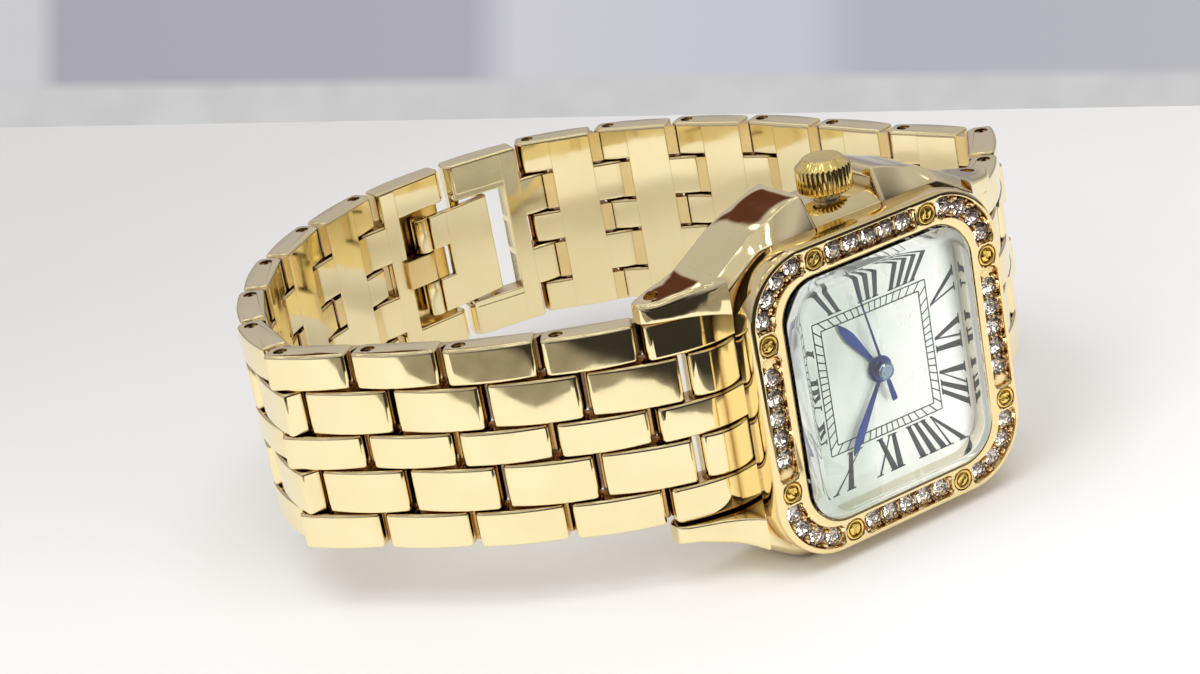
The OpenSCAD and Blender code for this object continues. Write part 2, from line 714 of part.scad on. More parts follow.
place() case_body();
place() bezel();
place() bezel_stones();
place() bezel_screws();
place() crystal();
place() crystal_gasket();
place() dial();
place() case_back();
place() back_gasket();
place() lug_pins();
place() crown_tube();
place() movement_ring();
place() main_plate();
place() train_bridge();
place() bridge_screws();
place() circuit_board();
place() quartz_can();
place() coil();
place() stator();
place() battery();
place() battery_clip();
place() rotor();
place() step_wheel();
place() third_wheel();
place() second_wheel();
place() second_hand();
place() centre_wheel();
place() minute_hand();
place() minute_wheel();
place() hour_wheel();
place() hour_hand();
place() setting_lever();
place() stem();
place() clutch();
place() crown();
place() crown_gasket();
place() on_twelve(0) link();  // link_1
place() on_twelve(1) link();  // link_2
place() on_twelve(2) link();  // link_3
place() on_twelve(3) link();  // link_4
place() on_twelve(4) link();  // link_5
place() on_twelve(5) link();  // link_6
place() on_twelve(6) link();  // link_7
place() on_twelve(7) link();  // link_8
place() on_twelve(8) link();  // link_9
place() on_twelve(9) hook_link();
place() on_twelve(9) clasp_hook();
place() on_six(8) frame_link();
place() on_six(7) link();  // link_11
place() on_six(6) link();  // link_12
place() on_six(5) link();  // link_13
place() on_six(4) link();  // link_14
place() on_six(3) link();  // link_15
place() on_six(2) link();  // link_16
place() on_six(1) link();  // link_17
place() on_six(0) link();  // link_18
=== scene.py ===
import math

import bmesh
import bpy
from mathutils import Matrix, Vector


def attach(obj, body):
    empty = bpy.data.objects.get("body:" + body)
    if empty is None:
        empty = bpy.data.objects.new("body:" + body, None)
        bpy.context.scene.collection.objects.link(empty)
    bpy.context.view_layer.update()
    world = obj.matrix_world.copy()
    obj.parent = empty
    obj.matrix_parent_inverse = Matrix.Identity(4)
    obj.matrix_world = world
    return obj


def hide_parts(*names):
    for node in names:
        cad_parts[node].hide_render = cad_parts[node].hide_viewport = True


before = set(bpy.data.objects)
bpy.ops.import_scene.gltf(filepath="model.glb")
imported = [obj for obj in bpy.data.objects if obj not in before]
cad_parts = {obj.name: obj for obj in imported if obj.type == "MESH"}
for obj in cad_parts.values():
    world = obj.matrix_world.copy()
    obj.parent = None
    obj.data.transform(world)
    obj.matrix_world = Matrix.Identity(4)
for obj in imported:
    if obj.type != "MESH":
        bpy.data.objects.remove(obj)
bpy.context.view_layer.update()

# The watch is drawn in millimetres from the middle of the line between its lug pins: X runs from 12 to
# 6 o'clock, -Y is out of the dial and Z is up to the crown. Materials and the set are in metres.
MM = 0.001
SHIFT_Y = 1.65
SHIFT_Z = 12.3


# Node tools
def new_material(name):
    material = bpy.data.materials.new(name)
    material.use_nodes = True
    tree = material.node_tree
    return material, tree, tree.nodes["Principled BSDF"]


def fill(tree, node, inputs):
    """Sets each input of a node to a plain value, or joins it to another node's output."""
    for key, value in inputs.items():
        if isinstance(value, bpy.types.NodeSocket):
            tree.links.new(value, node.inputs[key])
        else:
            node.inputs[key].default_value = value


def add(tree, kind, inputs=None, **settings):
    node = tree.nodes.new("ShaderNode" + kind)
    for key, value in settings.items():
        setattr(node, key, value)
    fill(tree, node, inputs or {})
    return node


def axes(tree, space="Object"):
    """The X, Y and Z of a place, apart."""
    place = add(tree, "TexCoord").outputs[space]
    return add(tree, "SeparateXYZ", {0: place}).outputs


def coords(tree, scale, stretch, turn):
    mapping = add(tree, "Mapping", {
        "Vector": add(tree, "TexCoord").outputs["Object"],
        "Scale": [scale * s for s in stretch],
        "Rotation": [math.radians(t) for t in turn]})
    return mapping.outputs["Vector"]


def noise(tree, scale, stretch=(1, 1, 1), detail=4.0, rough=0.55, turn=(0, 0, 0)):
    node = add(tree, "TexNoise", {
        "Vector": coords(tree, scale, stretch, turn), "Scale": 1.0, "Detail": detail, "Roughness": rough})
    return node.outputs["Fac"]


def to_range(tree, value, low, high, start=0.3, end=0.7):
    """Takes start..end to low..high, and holds what lies outside."""
    node = add(tree, "MapRange", {
        "Value": value, "From Min": start, "From Max": end, "To Min": low, "To Max": high})
    return node.outputs["Result"]


def ramp(tree, value, stops):
    node = add(tree, "ValToRGB", {"Fac": value})
    ends = node.color_ramp.elements
    while len(ends) < len(stops):
        ends.new(0.5)
    for end, (place, colour) in zip(ends, stops):
        end.position = place
        end.color = (*colour, 1)
    return node.outputs["Color"]


def mottled(tree, scale, dark, light, detail=4.0):
    return ramp(tree, noise(tree, scale, detail=detail), [(0.3, dark), (0.7, light)])


def combine(tree, operation, first, second):
    return add(tree, "Math", {0: first, 1: second}, operation=operation).outputs[0]


def mixed(tree, share, first, second, how="MIX"):
    node = add(tree, "Mix", data_type="RGBA", blend_type=how)
    fill(tree, node, {0: share, 6: first, 7: second})
    return node.outputs[2]


def bump(tree, shader, heights):
    """Chain of bumps, each a height, a strength and a depth in metres."""
    normal = None
    for height, strength, depth in heights:
        node = add(tree, "Bump", {"Height": height, "Strength": strength, "Distance": depth})
        if normal:
            tree.links.new(normal, node.inputs["Normal"])
        normal = node.outputs["Normal"]
    tree.links.new(normal, shader.inputs["Normal"])


# Materials
WAVE_DEPTH, SCRATCH_DEPTH, GRAIN_DEPTH = 0.00003, 0.000004, 0.000006
SCRATCH_TURNS = ((20, 35, 12), (-40, 10, 70))
SCRATCH_STRENGTH = 0.05
CREVICE_REACH = 0.0006


def scratches(tree, turn):
    """Thin straight lines that break off, as a height."""
    lines = add(tree, "TexWave", {
        "Vector": coords(tree, 330, (1, 1, 0.22), turn), "Scale": 1.0, "Distortion": 6.0,
        "Detail": 2.0, "Detail Scale": 0.6}, wave_type="BANDS")
    thin = to_range(tree, lines.outputs["Fac"], 0.0, 1.0, 0.0, 0.012)
    kept = to_range(tree, noise(tree, 420, detail=1.0), 0.0, 1.0, 0.56, 0.60)
    return combine(tree, "MAXIMUM", thin, combine(tree, "SUBTRACT", 1.0, kept))


def crevice(tree, colour, tone):
    """Darkens a colour where walls stand close: painted shade, in brown, in the gaps."""
    near = add(tree, "AmbientOcclusion", {"Distance": CREVICE_REACH}, samples=3)
    deepest = [v * v for v in tone]
    painted_shade = ramp(tree, near.outputs["AO"], [(0.10, deepest), (0.45, tone), (0.80, (1, 1, 1))])
    return mixed(tree, 1.0, colour, painted_shade, "MULTIPLY")


def metal(name, light, dark, smooth, rough, grain=0.0, wave=0.10, stretch=(1, 1, 1), gap_shade=None):
    """Plated or plain metal: colour drifts a little, the polish is uneven, fine marks run over it; given a
    shade tone, painted shade darkens its gaps.
    """
    material, tree, shader = new_material(name)
    colour = mottled(tree, 260, dark, light, 3.0)
    # painted shade: the colour darkens where walls stand close
    if gap_shade:
        colour = crevice(tree, colour, gap_shade)
    polish = to_range(tree, noise(tree, 900, stretch, 5.0, 0.65), smooth, rough)
    fill(tree, shader, {"Metallic": 1.0, "Base Color": colour, "Roughness": polish})
    heights = [(noise(tree, 420, detail=1.5), wave, WAVE_DEPTH)]
    heights += [(scratches(tree, turn), SCRATCH_STRENGTH, SCRATCH_DEPTH) for turn in SCRATCH_TURNS]
    if grain:
        heights.append((noise(tree, 9000, stretch, 3.0), grain, GRAIN_DEPTH))
    bump(tree, shader, heights)
    return material


def plain(name, light, dark, smooth, rough, grain, scale=1500):
    """Moulded or pressed material without metal: mottled colour, fine grain."""
    material, tree, shader = new_material(name)
    fill(tree, shader, {
        "Base Color": mottled(tree, scale / 3, dark, light, 3.0),
        "Roughness": to_range(tree, noise(tree, scale), smooth, rough)})
    bump(tree, shader, [(noise(tree, scale * 4, detail=3.0), grain, 0.00001)])
    return material


def make_pearl():
    """Mother-of-pearl: veins and clouds of pale green and grey, with painted light that brightens it towards
    6 o'clock.
    """
    material, tree, shader = new_material("mother_of_pearl")
    veins = noise(tree, 190, (1.0, 1.0, 0.35), 6.0, 0.6, (0, 38, 0))
    clouds = combine(tree, "ADD", veins, noise(tree, 90, detail=3.0))
    colour = ramp(tree, to_range(tree, clouds, 0, 1, 0.7, 1.3), [
        (0.0, (0.66, 0.73, 0.68)), (0.35, (0.82, 0.87, 0.82)), (0.6, (0.93, 0.94, 0.91)),
        (1.0, (0.80, 0.86, 0.86))])
    # painted light: darker towards 12 o'clock, brighter towards 6 o'clock
    painted_side_light = ramp(tree, to_range(tree, axes(tree)["X"], 0, 1, -0.007, 0.006), [
        (0.0, (0.66, 0.71, 0.67)), (0.5, (0.84, 0.87, 0.84)), (1.0, (1, 1, 1))])
    fill(tree, shader, {
        "Base Color": mixed(tree, 1.0, colour, painted_side_light, "MULTIPLY"),
        "Roughness": to_range(tree, veins, 0.16, 0.34),
        "Metallic": 0.12, "Coat Weight": 0.5, "Coat Roughness": 0.06})
    bump(tree, shader, [(veins, 0.25, WAVE_DEPTH)])
    return material


def make_glass(name, ior, tint):
    material, tree, shader = new_material(name)
    fill(tree, shader, {
        "Base Color": (*tint, 1), "Transmission Weight": 1.0, "IOR": ior,
        "Roughness": to_range(tree, noise(tree, 600), 0.0, 0.012)})
    bump(tree, shader, [(noise(tree, 160, detail=1.0), 0.03, 0.00002)])
    return material


# the last tone of each gold is painted shade for its gaps
gold = metal("gold_polished", (1.0, 0.875, 0.54), (0.98, 0.835, 0.48), 0.035, 0.085, wave=0.22,
             gap_shade=(0.50, 0.34, 0.16))
# gold of the gaps, holes and hollows: a rougher cast finish, and a deeper tone that is painted shade
gold_inner_shaded = metal("gold_cast_shaded", (0.96, 0.76, 0.38), (0.88, 0.66, 0.30), 0.14, 0.24, 0.12,
                   gap_shade=(0.50, 0.34, 0.16))
gold_bezel = metal("gold_bezel", (1.0, 0.83, 0.46), (0.98, 0.78, 0.40), 0.04, 0.10, 0.03,
                   gap_shade=(0.60, 0.38, 0.17))
gold_heads = metal("gold_heads", (1.0, 0.76, 0.24), (0.96, 0.70, 0.18), 0.06, 0.12, 0.03,
                   gap_shade=(0.55, 0.34, 0.12))
gold_crown = metal("gold_crown", (1.0, 0.80, 0.32), (0.95, 0.73, 0.26), 0.06, 0.14, 0.04,
                   gap_shade=(0.40, 0.30, 0.10))
wall_metal = metal("rehaut_polished", (0.78, 0.72, 0.60), (0.70, 0.64, 0.52), 0.03, 0.06, wave=0.05)
gold_pin = metal("gold_pin", (0.93, 0.74, 0.42), (0.78, 0.58, 0.28), 0.14, 0.30, 0.08)
steel = metal("steel_satin", (0.72, 0.73, 0.75), (0.60, 0.61, 0.63), 0.20, 0.34, 0.10, stretch=(1, 1, 14))
steel_bright = metal("steel_polished", (0.80, 0.82, 0.86), (0.70, 0.72, 0.77), 0.06, 0.14)
brass = metal("brass_machined", (0.86, 0.67, 0.36), (0.74, 0.54, 0.26), 0.20, 0.36, 0.12,
              stretch=(12, 1, 1))
blue_steel = metal("steel_blued", (0.025, 0.075, 0.34), (0.012, 0.035, 0.18), 0.12, 0.22, 0.03)
magnet = metal("magnet_sintered", (0.24, 0.24, 0.26), (0.14, 0.14, 0.16), 0.35, 0.55, 0.30)
copper = metal("copper_wire", (0.80, 0.38, 0.16), (0.62, 0.26, 0.09), 0.20, 0.34, 0.30,
               stretch=(1, 1, 30))
foil = metal("stone_foil", (0.98, 0.95, 0.92), (0.72, 0.67, 0.63), 0.03, 0.07)
hub_steel = metal("steel_hub", (0.34, 0.44, 0.54), (0.22, 0.31, 0.42), 0.10, 0.20)
rubber = plain("rubber_black", (0.06, 0.06, 0.06), (0.03, 0.03, 0.03), 0.55, 0.8, 0.3)
ring_plastic = plain("plastic_ring", (0.84, 0.84, 0.80), (0.76, 0.76, 0.71), 0.35, 0.5, 0.1)
board = plain("circuit_board", (0.06, 0.32, 0.17), (0.04, 0.24, 0.12), 0.25, 0.4, 0.2)
ink = plain("dial_ink", (0.022, 0.035, 0.030), (0.010, 0.018, 0.016), 0.28, 0.42, 0.15, 2500)
pearl = make_pearl()
glass = make_glass("crystal_glass", 1.5, (0.985, 0.995, 0.985))
stone = make_glass("stone_glass", 1.75, (0.98, 0.96, 0.94))


# Mesh tools
RIM_STEPS = 3


class Shell:
    """Points, faces and material numbers of one piece, in millimetres."""

    def __init__(self):
        self.points, self.faces, self.slots = [], [], []

    def loop(self, points):
        first = len(self.points)
        self.points.extend(points)
        return list(range(first, first + len(points)))

    def face(self, ids, slot=0):
        self.faces.append(tuple(ids))
        self.slots.append(slot)

    def band(self, a, b, slot=0, closed=True):
        for i in range(len(a) if closed else len(a) - 1):
            j = (i + 1) % len(a)
            self.face((a[i], a[j], b[j], b[i]), slot)

    def stack(self, loops, slot=0, low=True, high=True):
        ids = [self.loop(points) for points in loops]
        for a, b in zip(ids, ids[1:]):
            self.band(a, b, slot)
        if low:
            self.face(ids[0][::-1], slot)
        if high:
            self.face(ids[-1], slot)
        return ids

    def mesh(self, name, materials, recalc=True):
        data = bpy.data.meshes.new(name)
        data.from_pydata([(x * MM, (y + SHIFT_Y) * MM, (z + SHIFT_Z) * MM)
                          for x, y, z in self.points], [], self.faces)
        for material in materials:
            data.materials.append(material)
        data.polygons.foreach_set("material_index", self.slots)
        if recalc:
            bm = bmesh.new()
            bm.from_mesh(data)
            bmesh.ops.recalc_face_normals(bm, faces=bm.faces)
            bm.to_mesh(data)
            bm.free()
        data.update()
        return data


def solid(loops):
    """Shell of loops joined in order and closed at both ends."""
    shell = Shell()
    shell.stack(loops)
    return shell


def in_scene(name, data):
    obj = bpy.data.objects.new(name, data)
    bpy.context.scene.collection.objects.link(obj)
    return obj


def piece(name, data, body, *replaced, slot=None, angle=38, flat=False):
    """Puts a mesh in the scene; angle is where its smooth shading breaks, in degrees."""
    obj = in_scene(name, data)
    if not flat:
        data.shade_smooth()
        data.set_sharp_from_angle(angle=math.radians(angle))
        normals = obj.modifiers.new("normals", "WEIGHTED_NORMAL")
        normals.keep_sharp = True
        normals.weight = 60
    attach(obj, body)
    if replaced:
        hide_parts(*replaced)
    return obj


def unit(x, y):
    size = math.hypot(x, y) or 1.0
    return x / size, y / size


def turn_between(d0, d1):
    return math.atan2(d0[0] * d1[1] - d0[1] * d1[0], d0[0] * d1[0] + d0[1] * d1[1])


def outline(corners, steps=3):
    """A convex outline from corners (x, y, radius), as points with their outward normals."""
    out = []
    count = len(corners)
    for i, (x, y, r) in enumerate(corners):
        before, after = corners[i - 1], corners[(i + 1) % count]
        d0 = unit(x - before[0], y - before[1])
        d1 = unit(after[0] - x, after[1] - y)
        start = math.atan2(-d0[0], d0[1])
        turn = turn_between(d0, d1)
        if r <= 0:
            a = start + turn / 2
            size = 1 / math.cos(turn / 2)
            out.append((x, y, math.cos(a) * size, math.sin(a) * size))
            continue
        t = r * math.tan(turn / 2)
        cx, cy = x - d0[0] * t - math.cos(start) * r, y - d0[1] * t - math.sin(start) * r
        for k in range(steps + 1):
            a = start + turn * k / steps
            out.append((cx + math.cos(a) * r, cy + math.sin(a) * r, math.cos(a), math.sin(a)))
    return out


def angles(count, start=0.0):
    return [start + math.tau * k / count for k in range(count)]


def circle(cx, cy, r, count=28):
    """A round outline, as points with their outward normals."""
    return [(cx + r * math.cos(a), cy + r * math.sin(a), math.cos(a), math.sin(a)) for a in angles(count)]


def flat_ring(cx, cz, r, y, count, start=0.0):
    """Points of a circle that faces the front, at depth y."""
    return [(cx + r * math.cos(a), y, cz + r * math.sin(a)) for a in angles(count, start)]


def box_outline(x0, x1, y0, y1, r=0.12):
    return outline([(x0, y0, r), (x1, y0, r), (x1, y1, r), (x0, y1, r)])


def rims(low, high, edge):
    """Level and inset of each loop of a slab with rounded rims."""
    rise = []
    for k in range(RIM_STEPS + 1):
        a = math.pi / 2 * k / RIM_STEPS
        rise.append((edge * (1 - math.cos(a)), edge * (1 - math.sin(a))))
    return [(low + up, inset) for up, inset in rise] + [(high - up, inset) for up, inset in reversed(rise)]


def slab(shell, shape, low, high, put, edge=0.12, slot=0, caps=(True, True)):
    """An outline made solid from low to high, with its rims rounded by edge."""
    loops = [[put(x - nx * inset, y - ny * inset, level) for x, y, nx, ny in shape]
             for level, inset in rims(low, high, edge)]
    return shell.stack(loops, slot, *caps)


def fill_ring(shell, outer, outer_xy, inner, inner_xy, centre):
    """Fills the flat ring between a convex loop and a round hole in it, in order of angle."""
    def by_angle(ids, places):
        return sorted((math.atan2(y - centre[1], x - centre[0]), i) for i, (x, y) in zip(ids, places))

    def angle_after(pairs, i):
        if i >= len(pairs):
            return math.inf
        return pairs[(i + 1) % len(pairs)][0] + (math.tau if i + 1 >= len(pairs) else 0)
    a, b = by_angle(outer, outer_xy), by_angle(inner, inner_xy)
    i = j = 0
    while i < len(a) or j < len(b):
        on_a, on_b = a[i % len(a)][1], b[j % len(b)][1]
        if angle_after(a, i) <= angle_after(b, j):
            shell.face((on_a, a[(i + 1) % len(a)][1], on_b))
            i += 1
        else:
            shell.face((on_a, b[(j + 1) % len(b)][1], on_b))
            j += 1


# Bracelet. Along a link, 0 is its own hinge pin; n is out from the pins' line and z is across.
PITCH, HALF_T, LINK_GAP, BAND, ROW_GAP = 6.8, 1.1, 0.45, 15.0, 0.1
EDGE_W, MID_W, DOME, RELIEF = 2.7, 2.6, 0.28, 0.53
WIDE_W = (BAND - 2 * EDGE_W - MID_W - 4 * ROW_GAP) / 2
EDGE_Z, WIDE_Z = BAND / 2 - EDGE_W / 2, MID_W / 2 + ROW_GAP + WIDE_W / 2
# the edge and middle rows reach past the next pin, the wide rows start behind their own
ODD_FROM, ODD_TO = HALF_T + LINK_GAP, PITCH + HALF_T
EVEN_FROM, EVEN_TO = -HALF_T, PITCH - LINK_GAP - HALF_T
ODD_ROWS = ((-EDGE_Z, EDGE_W), (0, MID_W), (EDGE_Z, EDGE_W))
PIN_R, PIN_BORE, PIN_FIT, LUG_X = 0.5, 0.2, 0.01, 13.9
# round of a block's inner corners, and width of the rounded rims on its sides
BLOCK_R, BLOCK_RIM = 0.27, 0.26
# round of its outer corners, at its start and its end, when it is pinned far from its start or near it
FAR_ROUNDS, NEAR_ROUNDS = (0.3, 0.45), (0.35, 0.3)
# how deep a pin's hole and the pin's end in it lie
HOLE_DEPTH, PIN_DEPTH = 0.5, 0.12
WEB_TOP, WEB_IN, WEB_R = HALF_T - 0.5, 0.2, 0.1
# radius of the hollow in a lip, and its profile: levels, with how far each stands back
LIP_R, LIP_SIDE = 1.33, 0.15
LIP_PROFILE = ((-1.06, 0.0), (-0.85, 0.0), (-0.6, 0.0), (-0.35, 0.0), (-0.12, 0.06))
# turns from link to link, from the lug outwards, and the heading of the first, in degrees
TWELVE = ([8, 10, 2, 46, 17, 11, 15, 14, 19], 32.6853)
SIX = ([10, 61, -5, 2, 11, 11, 16, 24], 41.4155)
OUTSIDE, INSIDE, PIN = 0, 1, 2
LINK_MATS = [gold, gold_inner_shaded, gold_pin]


def chain(turns, first, side):
    """Placing functions of the links of one half, from the lug outwards."""
    out = []
    x = y = 0.0
    heading = first
    for turn in turns + [0]:
        c, s = math.cos(math.radians(heading)), math.sin(math.radians(heading))

        def put(along, n, z, x=x, y=y, c=c, s=s):
            return side * (LUG_X + x + along * c + n * s), y + along * s - n * c, z
        out.append(put)
        x, y = x + PITCH * c, y + PITCH * s
        heading += turn
    return out


def row_shape(start, end, far):
    """Side outline of a block: domed outside, relieved inside at its pinned end."""
    half, mid = (end - start) / 2, (start + end) / 2
    radius = (half * half + DOME * DOME) / (2 * DOME)

    def top(s):
        return HALF_T - radius + math.sqrt(radius * radius - (s - mid) ** 2)
    dome = [(mid + half * k / 5, top(mid + half * k / 5), 0) for k in range(4, -5, -1)]
    if far:
        inner = [(start, -HALF_T), (end - RELIEF, -HALF_T), (end, -HALF_T + RELIEF)]
    else:
        inner = [(start, -HALF_T + RELIEF), (start + RELIEF, -HALF_T), (end, -HALF_T)]
    first, last = FAR_ROUNDS if far else NEAR_ROUNDS
    corners = [(x, y, BLOCK_R) for x, y in inner]
    return outline(corners + [(end, top(end), last)] + dome + [(start, top(start), first)])


def pin_end(shell, put, s, face, inwards):
    """Rolled pin seen end on: a tube with a slit, in the bottom of its hole."""
    count, slit = 22, 25
    rounds = [math.radians(slit + (360 - 2 * slit) * k / count) for k in range(count + 1)]
    rings = []
    for depth in (HOLE_DEPTH, PIN_DEPTH):
        level = face + inwards * depth
        rings.append([shell.loop([put(s + r * math.cos(a), r * math.sin(a), level) for a in rounds])
                      for r in (PIN_R - 0.05, PIN_BORE)])
    (outer_low, inner_low), (outer_top, inner_top) = rings
    for a, b in ((outer_low, outer_top), (inner_top, inner_low), (outer_top, inner_top),
                 (inner_low, outer_low)):
        shell.band(a, b, PIN, closed=False)
    for k in (0, -1):
        shell.face((outer_low[k], outer_top[k], inner_top[k], inner_low[k]), PIN)


def row(shell, put, start, end, z, width, far, pin=None, edge=BLOCK_RIM):
    """One block of a row; with a pin, its outer side shows the pin's end in a hole."""
    shape = row_shape(start, end, far)
    low, high = z - width / 2, z + width / 2
    drilled = [pin is not None and z * side > 0 for side in (-1, 1)]
    ids = slab(shell, shape, low, high, put, edge, OUTSIDE, [not hole for hole in drilled])
    for hole, rim, level, inwards in zip(drilled, (ids[0], ids[-1]), (low, high), (1, -1)):
        if not hole:
            continue
        rim_xy = [(x - nx * edge, y - ny * edge) for x, y, nx, ny in shape]
        ring = [(x, y) for x, y, _, _ in circle(pin, 0, PIN_R + PIN_FIT)]
        mouth = shell.loop([put(x, y, level) for x, y in ring])
        fill_ring(shell, rim, rim_xy, mouth, ring, (pin, 0))
        floor = shell.loop([put(x, y, level + inwards * HOLE_DEPTH) for x, y in ring])
        shell.band(mouth, floor, INSIDE)
        shell.face(floor, INSIDE)
        pin_end(shell, put, pin, level, inwards)


def web(shell, put, start, end):
    """Plate that joins the rows: flush inside, sunk between the rows outside."""
    slab(shell, box_outline(start, end, -HALF_T - 0.02, WEB_TOP, WEB_R), -BAND / 2 + WEB_IN,
         BAND / 2 - WEB_IN, put, WEB_R)


def lip(shell, put, end, pin, z, width, side):
    """Hollowed lip under the gap between two blocks, round the pin of the next link."""
    near = [(pin - side * (math.sqrt(LIP_R * LIP_R - n * n) + back), n) for n, back in LIP_PROFILE]
    far = end - side * 0.3
    shape = [(far, LIP_PROFILE[0][0])] + near + [(far, -0.05)]
    half = width / 2 - LIP_SIDE
    shell.stack([[put(s, n, level) for s, n in shape] for level in (z - half, z + half)], INSIDE)


def link(put):
    shell = Shell()
    for z, width in ODD_ROWS:
        row(shell, put, ODD_FROM, ODD_TO, z, width, True, PITCH)
        lip(shell, put, ODD_FROM, 0, z, width, -1)
    for z in (-WIDE_Z, WIDE_Z):
        row(shell, put, EVEN_FROM, EVEN_TO, z, WIDE_W, False)
        lip(shell, put, EVEN_TO, PITCH, z, WIDE_W, 1)
    web(shell, put, ODD_FROM + 0.12, EVEN_TO - 0.12)
    return shell


def gold_piece(name, shell, body, node):
    piece(name, shell.mesh(name, LINK_MATS), body, node, slot="gold")


twelve, six = chain(*TWELVE, -1), chain(*SIX, 1)
for k in range(9):
    gold_piece("bracelet_link_%d" % (k + 1), link(twelve[k]), "twelve_%d" % (k + 1), "link_%d" % (k + 1))
for k in range(8):
    gold_piece("bracelet_link_%d" % (18 - k), link(six[k]), "six_%d" % (k + 1), "link_%d" % (18 - k))

# Clasp: the end link with its hook, and the frame that the hook catches
BRIDGE_END = ODD_FROM + 1.6
HOOK_S, HOOK_N, KNUCKLE_R, HOOK_T, HOOK_HALF, HOOK_PIN_R = 5.1, -0.8, 0.75, 0.6, 4.15, 0.35
KNUCKLE_HALF, KNUCKLE_RIM = MID_W / 2 - ROW_GAP, 0.08
# inner face of the hook's plate, where the plate starts, and where its lip stands and how high
PLATE_IN, PLATE_FROM, LIP_S, LIP_RISE = HOOK_N - KNUCKLE_R, HOOK_S + KNUCKLE_R + 1.3, HOOK_S + 6.5, 1.1
WINDOW_HALF = 4.45


def clasp_link(put):
    """Edge rows of a clasp link; what else it has comes after them."""
    shell = Shell()
    for z in (-EDGE_Z, EDGE_Z):
        row(shell, put, ODD_FROM, ODD_TO, z, EDGE_W, True)
    return shell


def hinged_end(shell, put):
    """The short middle rows of a clasp link, and the plate that joins them."""
    row(shell, put, ODD_FROM, BRIDGE_END, 0, MID_W, False, edge=0.12)
    for z in (-WIDE_Z, WIDE_Z):
        row(shell, put, EVEN_FROM, BRIDGE_END, z, WIDE_W, False)
    web(shell, put, ODD_FROM + 0.1, BRIDGE_END)


def end_link(put):
    """Last link of the 12 o'clock half: a floor outside, and the knuckle and pin of the hook."""
    shell = clasp_link(put)
    hinged_end(shell, put)
    floor_half = BAND / 2 - EDGE_W + 0.1
    slab(shell, box_outline(BRIDGE_END - 0.2, ODD_TO - 0.2, WEB_TOP - 0.35, WEB_TOP, 0.1),
         -floor_half, floor_half, put, 0.1, INSIDE)
    tongue = box_outline(BRIDGE_END - 0.4, HOOK_S, PLATE_IN, PLATE_IN + 2 * KNUCKLE_R, 0.1)
    for shape in (tongue, circle(HOOK_S, HOOK_N, KNUCKLE_R)):
        slab(shell, shape, -KNUCKLE_HALF, KNUCKLE_HALF, put, KNUCKLE_RIM, INSIDE)
    slab(shell, circle(HOOK_S, HOOK_N, HOOK_PIN_R, 18), -HOOK_HALF + 0.1, HOOK_HALF - 0.1, put, 0.05, PIN)
    return shell


def hook(put):
    """Swinging hook: two bored knuckles with their arms, a plate, and its lip."""
    shell = Shell()
    plate_out = PLATE_IN + HOOK_T
    for side in (-1, 1):
        low, high = sorted((side * (KNUCKLE_HALF + ROW_GAP), side * HOOK_HALF))
        ids = slab(shell, circle(HOOK_S, HOOK_N, KNUCKLE_R), low, high, put, KNUCKLE_RIM, OUTSIDE,
                   (False, False))
        bore = circle(HOOK_S, HOOK_N, HOOK_PIN_R + 0.02)
        ends = [shell.loop([put(x, y, level) for x, y, _, _ in bore]) for level in (low, high)]
        shell.band(ids[0], ends[0], OUTSIDE)
        shell.band(ids[-1], ends[1], OUTSIDE)
        shell.band(ends[0], ends[1], INSIDE)
        slab(shell, box_outline(HOOK_S + 0.55, PLATE_FROM + 0.2, PLATE_IN, plate_out), low, high, put)
    lip_in = LIP_S - HOOK_T
    stand = outline([(lip_in, PLATE_IN + 0.1, 0.1), (LIP_S - 0.02, PLATE_IN, 0.3),
                     (LIP_S, plate_out + LIP_RISE, 0.22), (lip_in, plate_out + LIP_RISE, 0.22)])
    for shape in (box_outline(PLATE_FROM, LIP_S - 0.15, PLATE_IN, plate_out, 0.14), stand):
        slab(shell, shape, -HOOK_HALF, HOOK_HALF, put, 0.14)
    return shell


def window_frame(put):
    """First link of the 6 o'clock half: two side bars, and the crossbar that the hook holds."""
    shell = clasp_link(put)
    for side in (-1, 1):
        low, high = sorted((side * WINDOW_HALF, side * (BAND / 2 - 0.4)))
        slab(shell, box_outline(ODD_FROM + 0.5, ODD_TO - 0.3, -HALF_T + 0.03, HALF_T - 0.4),
             low, high, put)
    hinged_end(shell, put)
    slab(shell, box_outline(ODD_TO - 1.0, ODD_TO - 0.15, HALF_T - 1.3, HALF_T - 0.2, 0.14),
         -BAND / 2 + 1, BAND / 2 - 1, put, 0.1)
    return shell


gold_piece("clasp_end_link", end_link(twelve[9]), "twelve_10", "hook_link")
gold_piece("clasp_hook_plate", hook(twelve[9]), "hook", "clasp_hook")
gold_piece("clasp_frame", window_frame(six[8]), "six_9", "frame_link")

# Case
BACK_Y, FRONT_Y, HALF_W, BODY_X, TIP_X, TIP_R = 1.3, -4.6, 12.3, 10.6, 15.4, 0.8
# each step in of the flank: where it starts, how long it is and how far it goes
WAIST, TIP = (6.2, 6.4, 2.8), (11.8, 3, 0.5)
GUARD_FROM, GUARD_RUN, GUARD_RISE, SHOULDER, RECESS = 2.8, 5.2, 1.2, 0.4, 0.25
# half width of the flat front, and how far back the slopes from it end: crown side, other side
FACE_HALF, UPPER_SLOPE, LOWER_SLOPE = 11.2, 1.15, 0.9
EDGE_R, SLOPE_R = 0.35, 0.22
STEM_Y, FINGER_TILT, FINGER_ROOT = -2.2, 15, -4.2
HORN_IN, HORN_RADII = 7.62, (0.5, 0.4, 0.18, 0.18)
# bulge of a lug's upper flank, before its end and there
HORN_BULGE, TIP_BULGE, BULGE_TO = 0.1, 0.03, 14
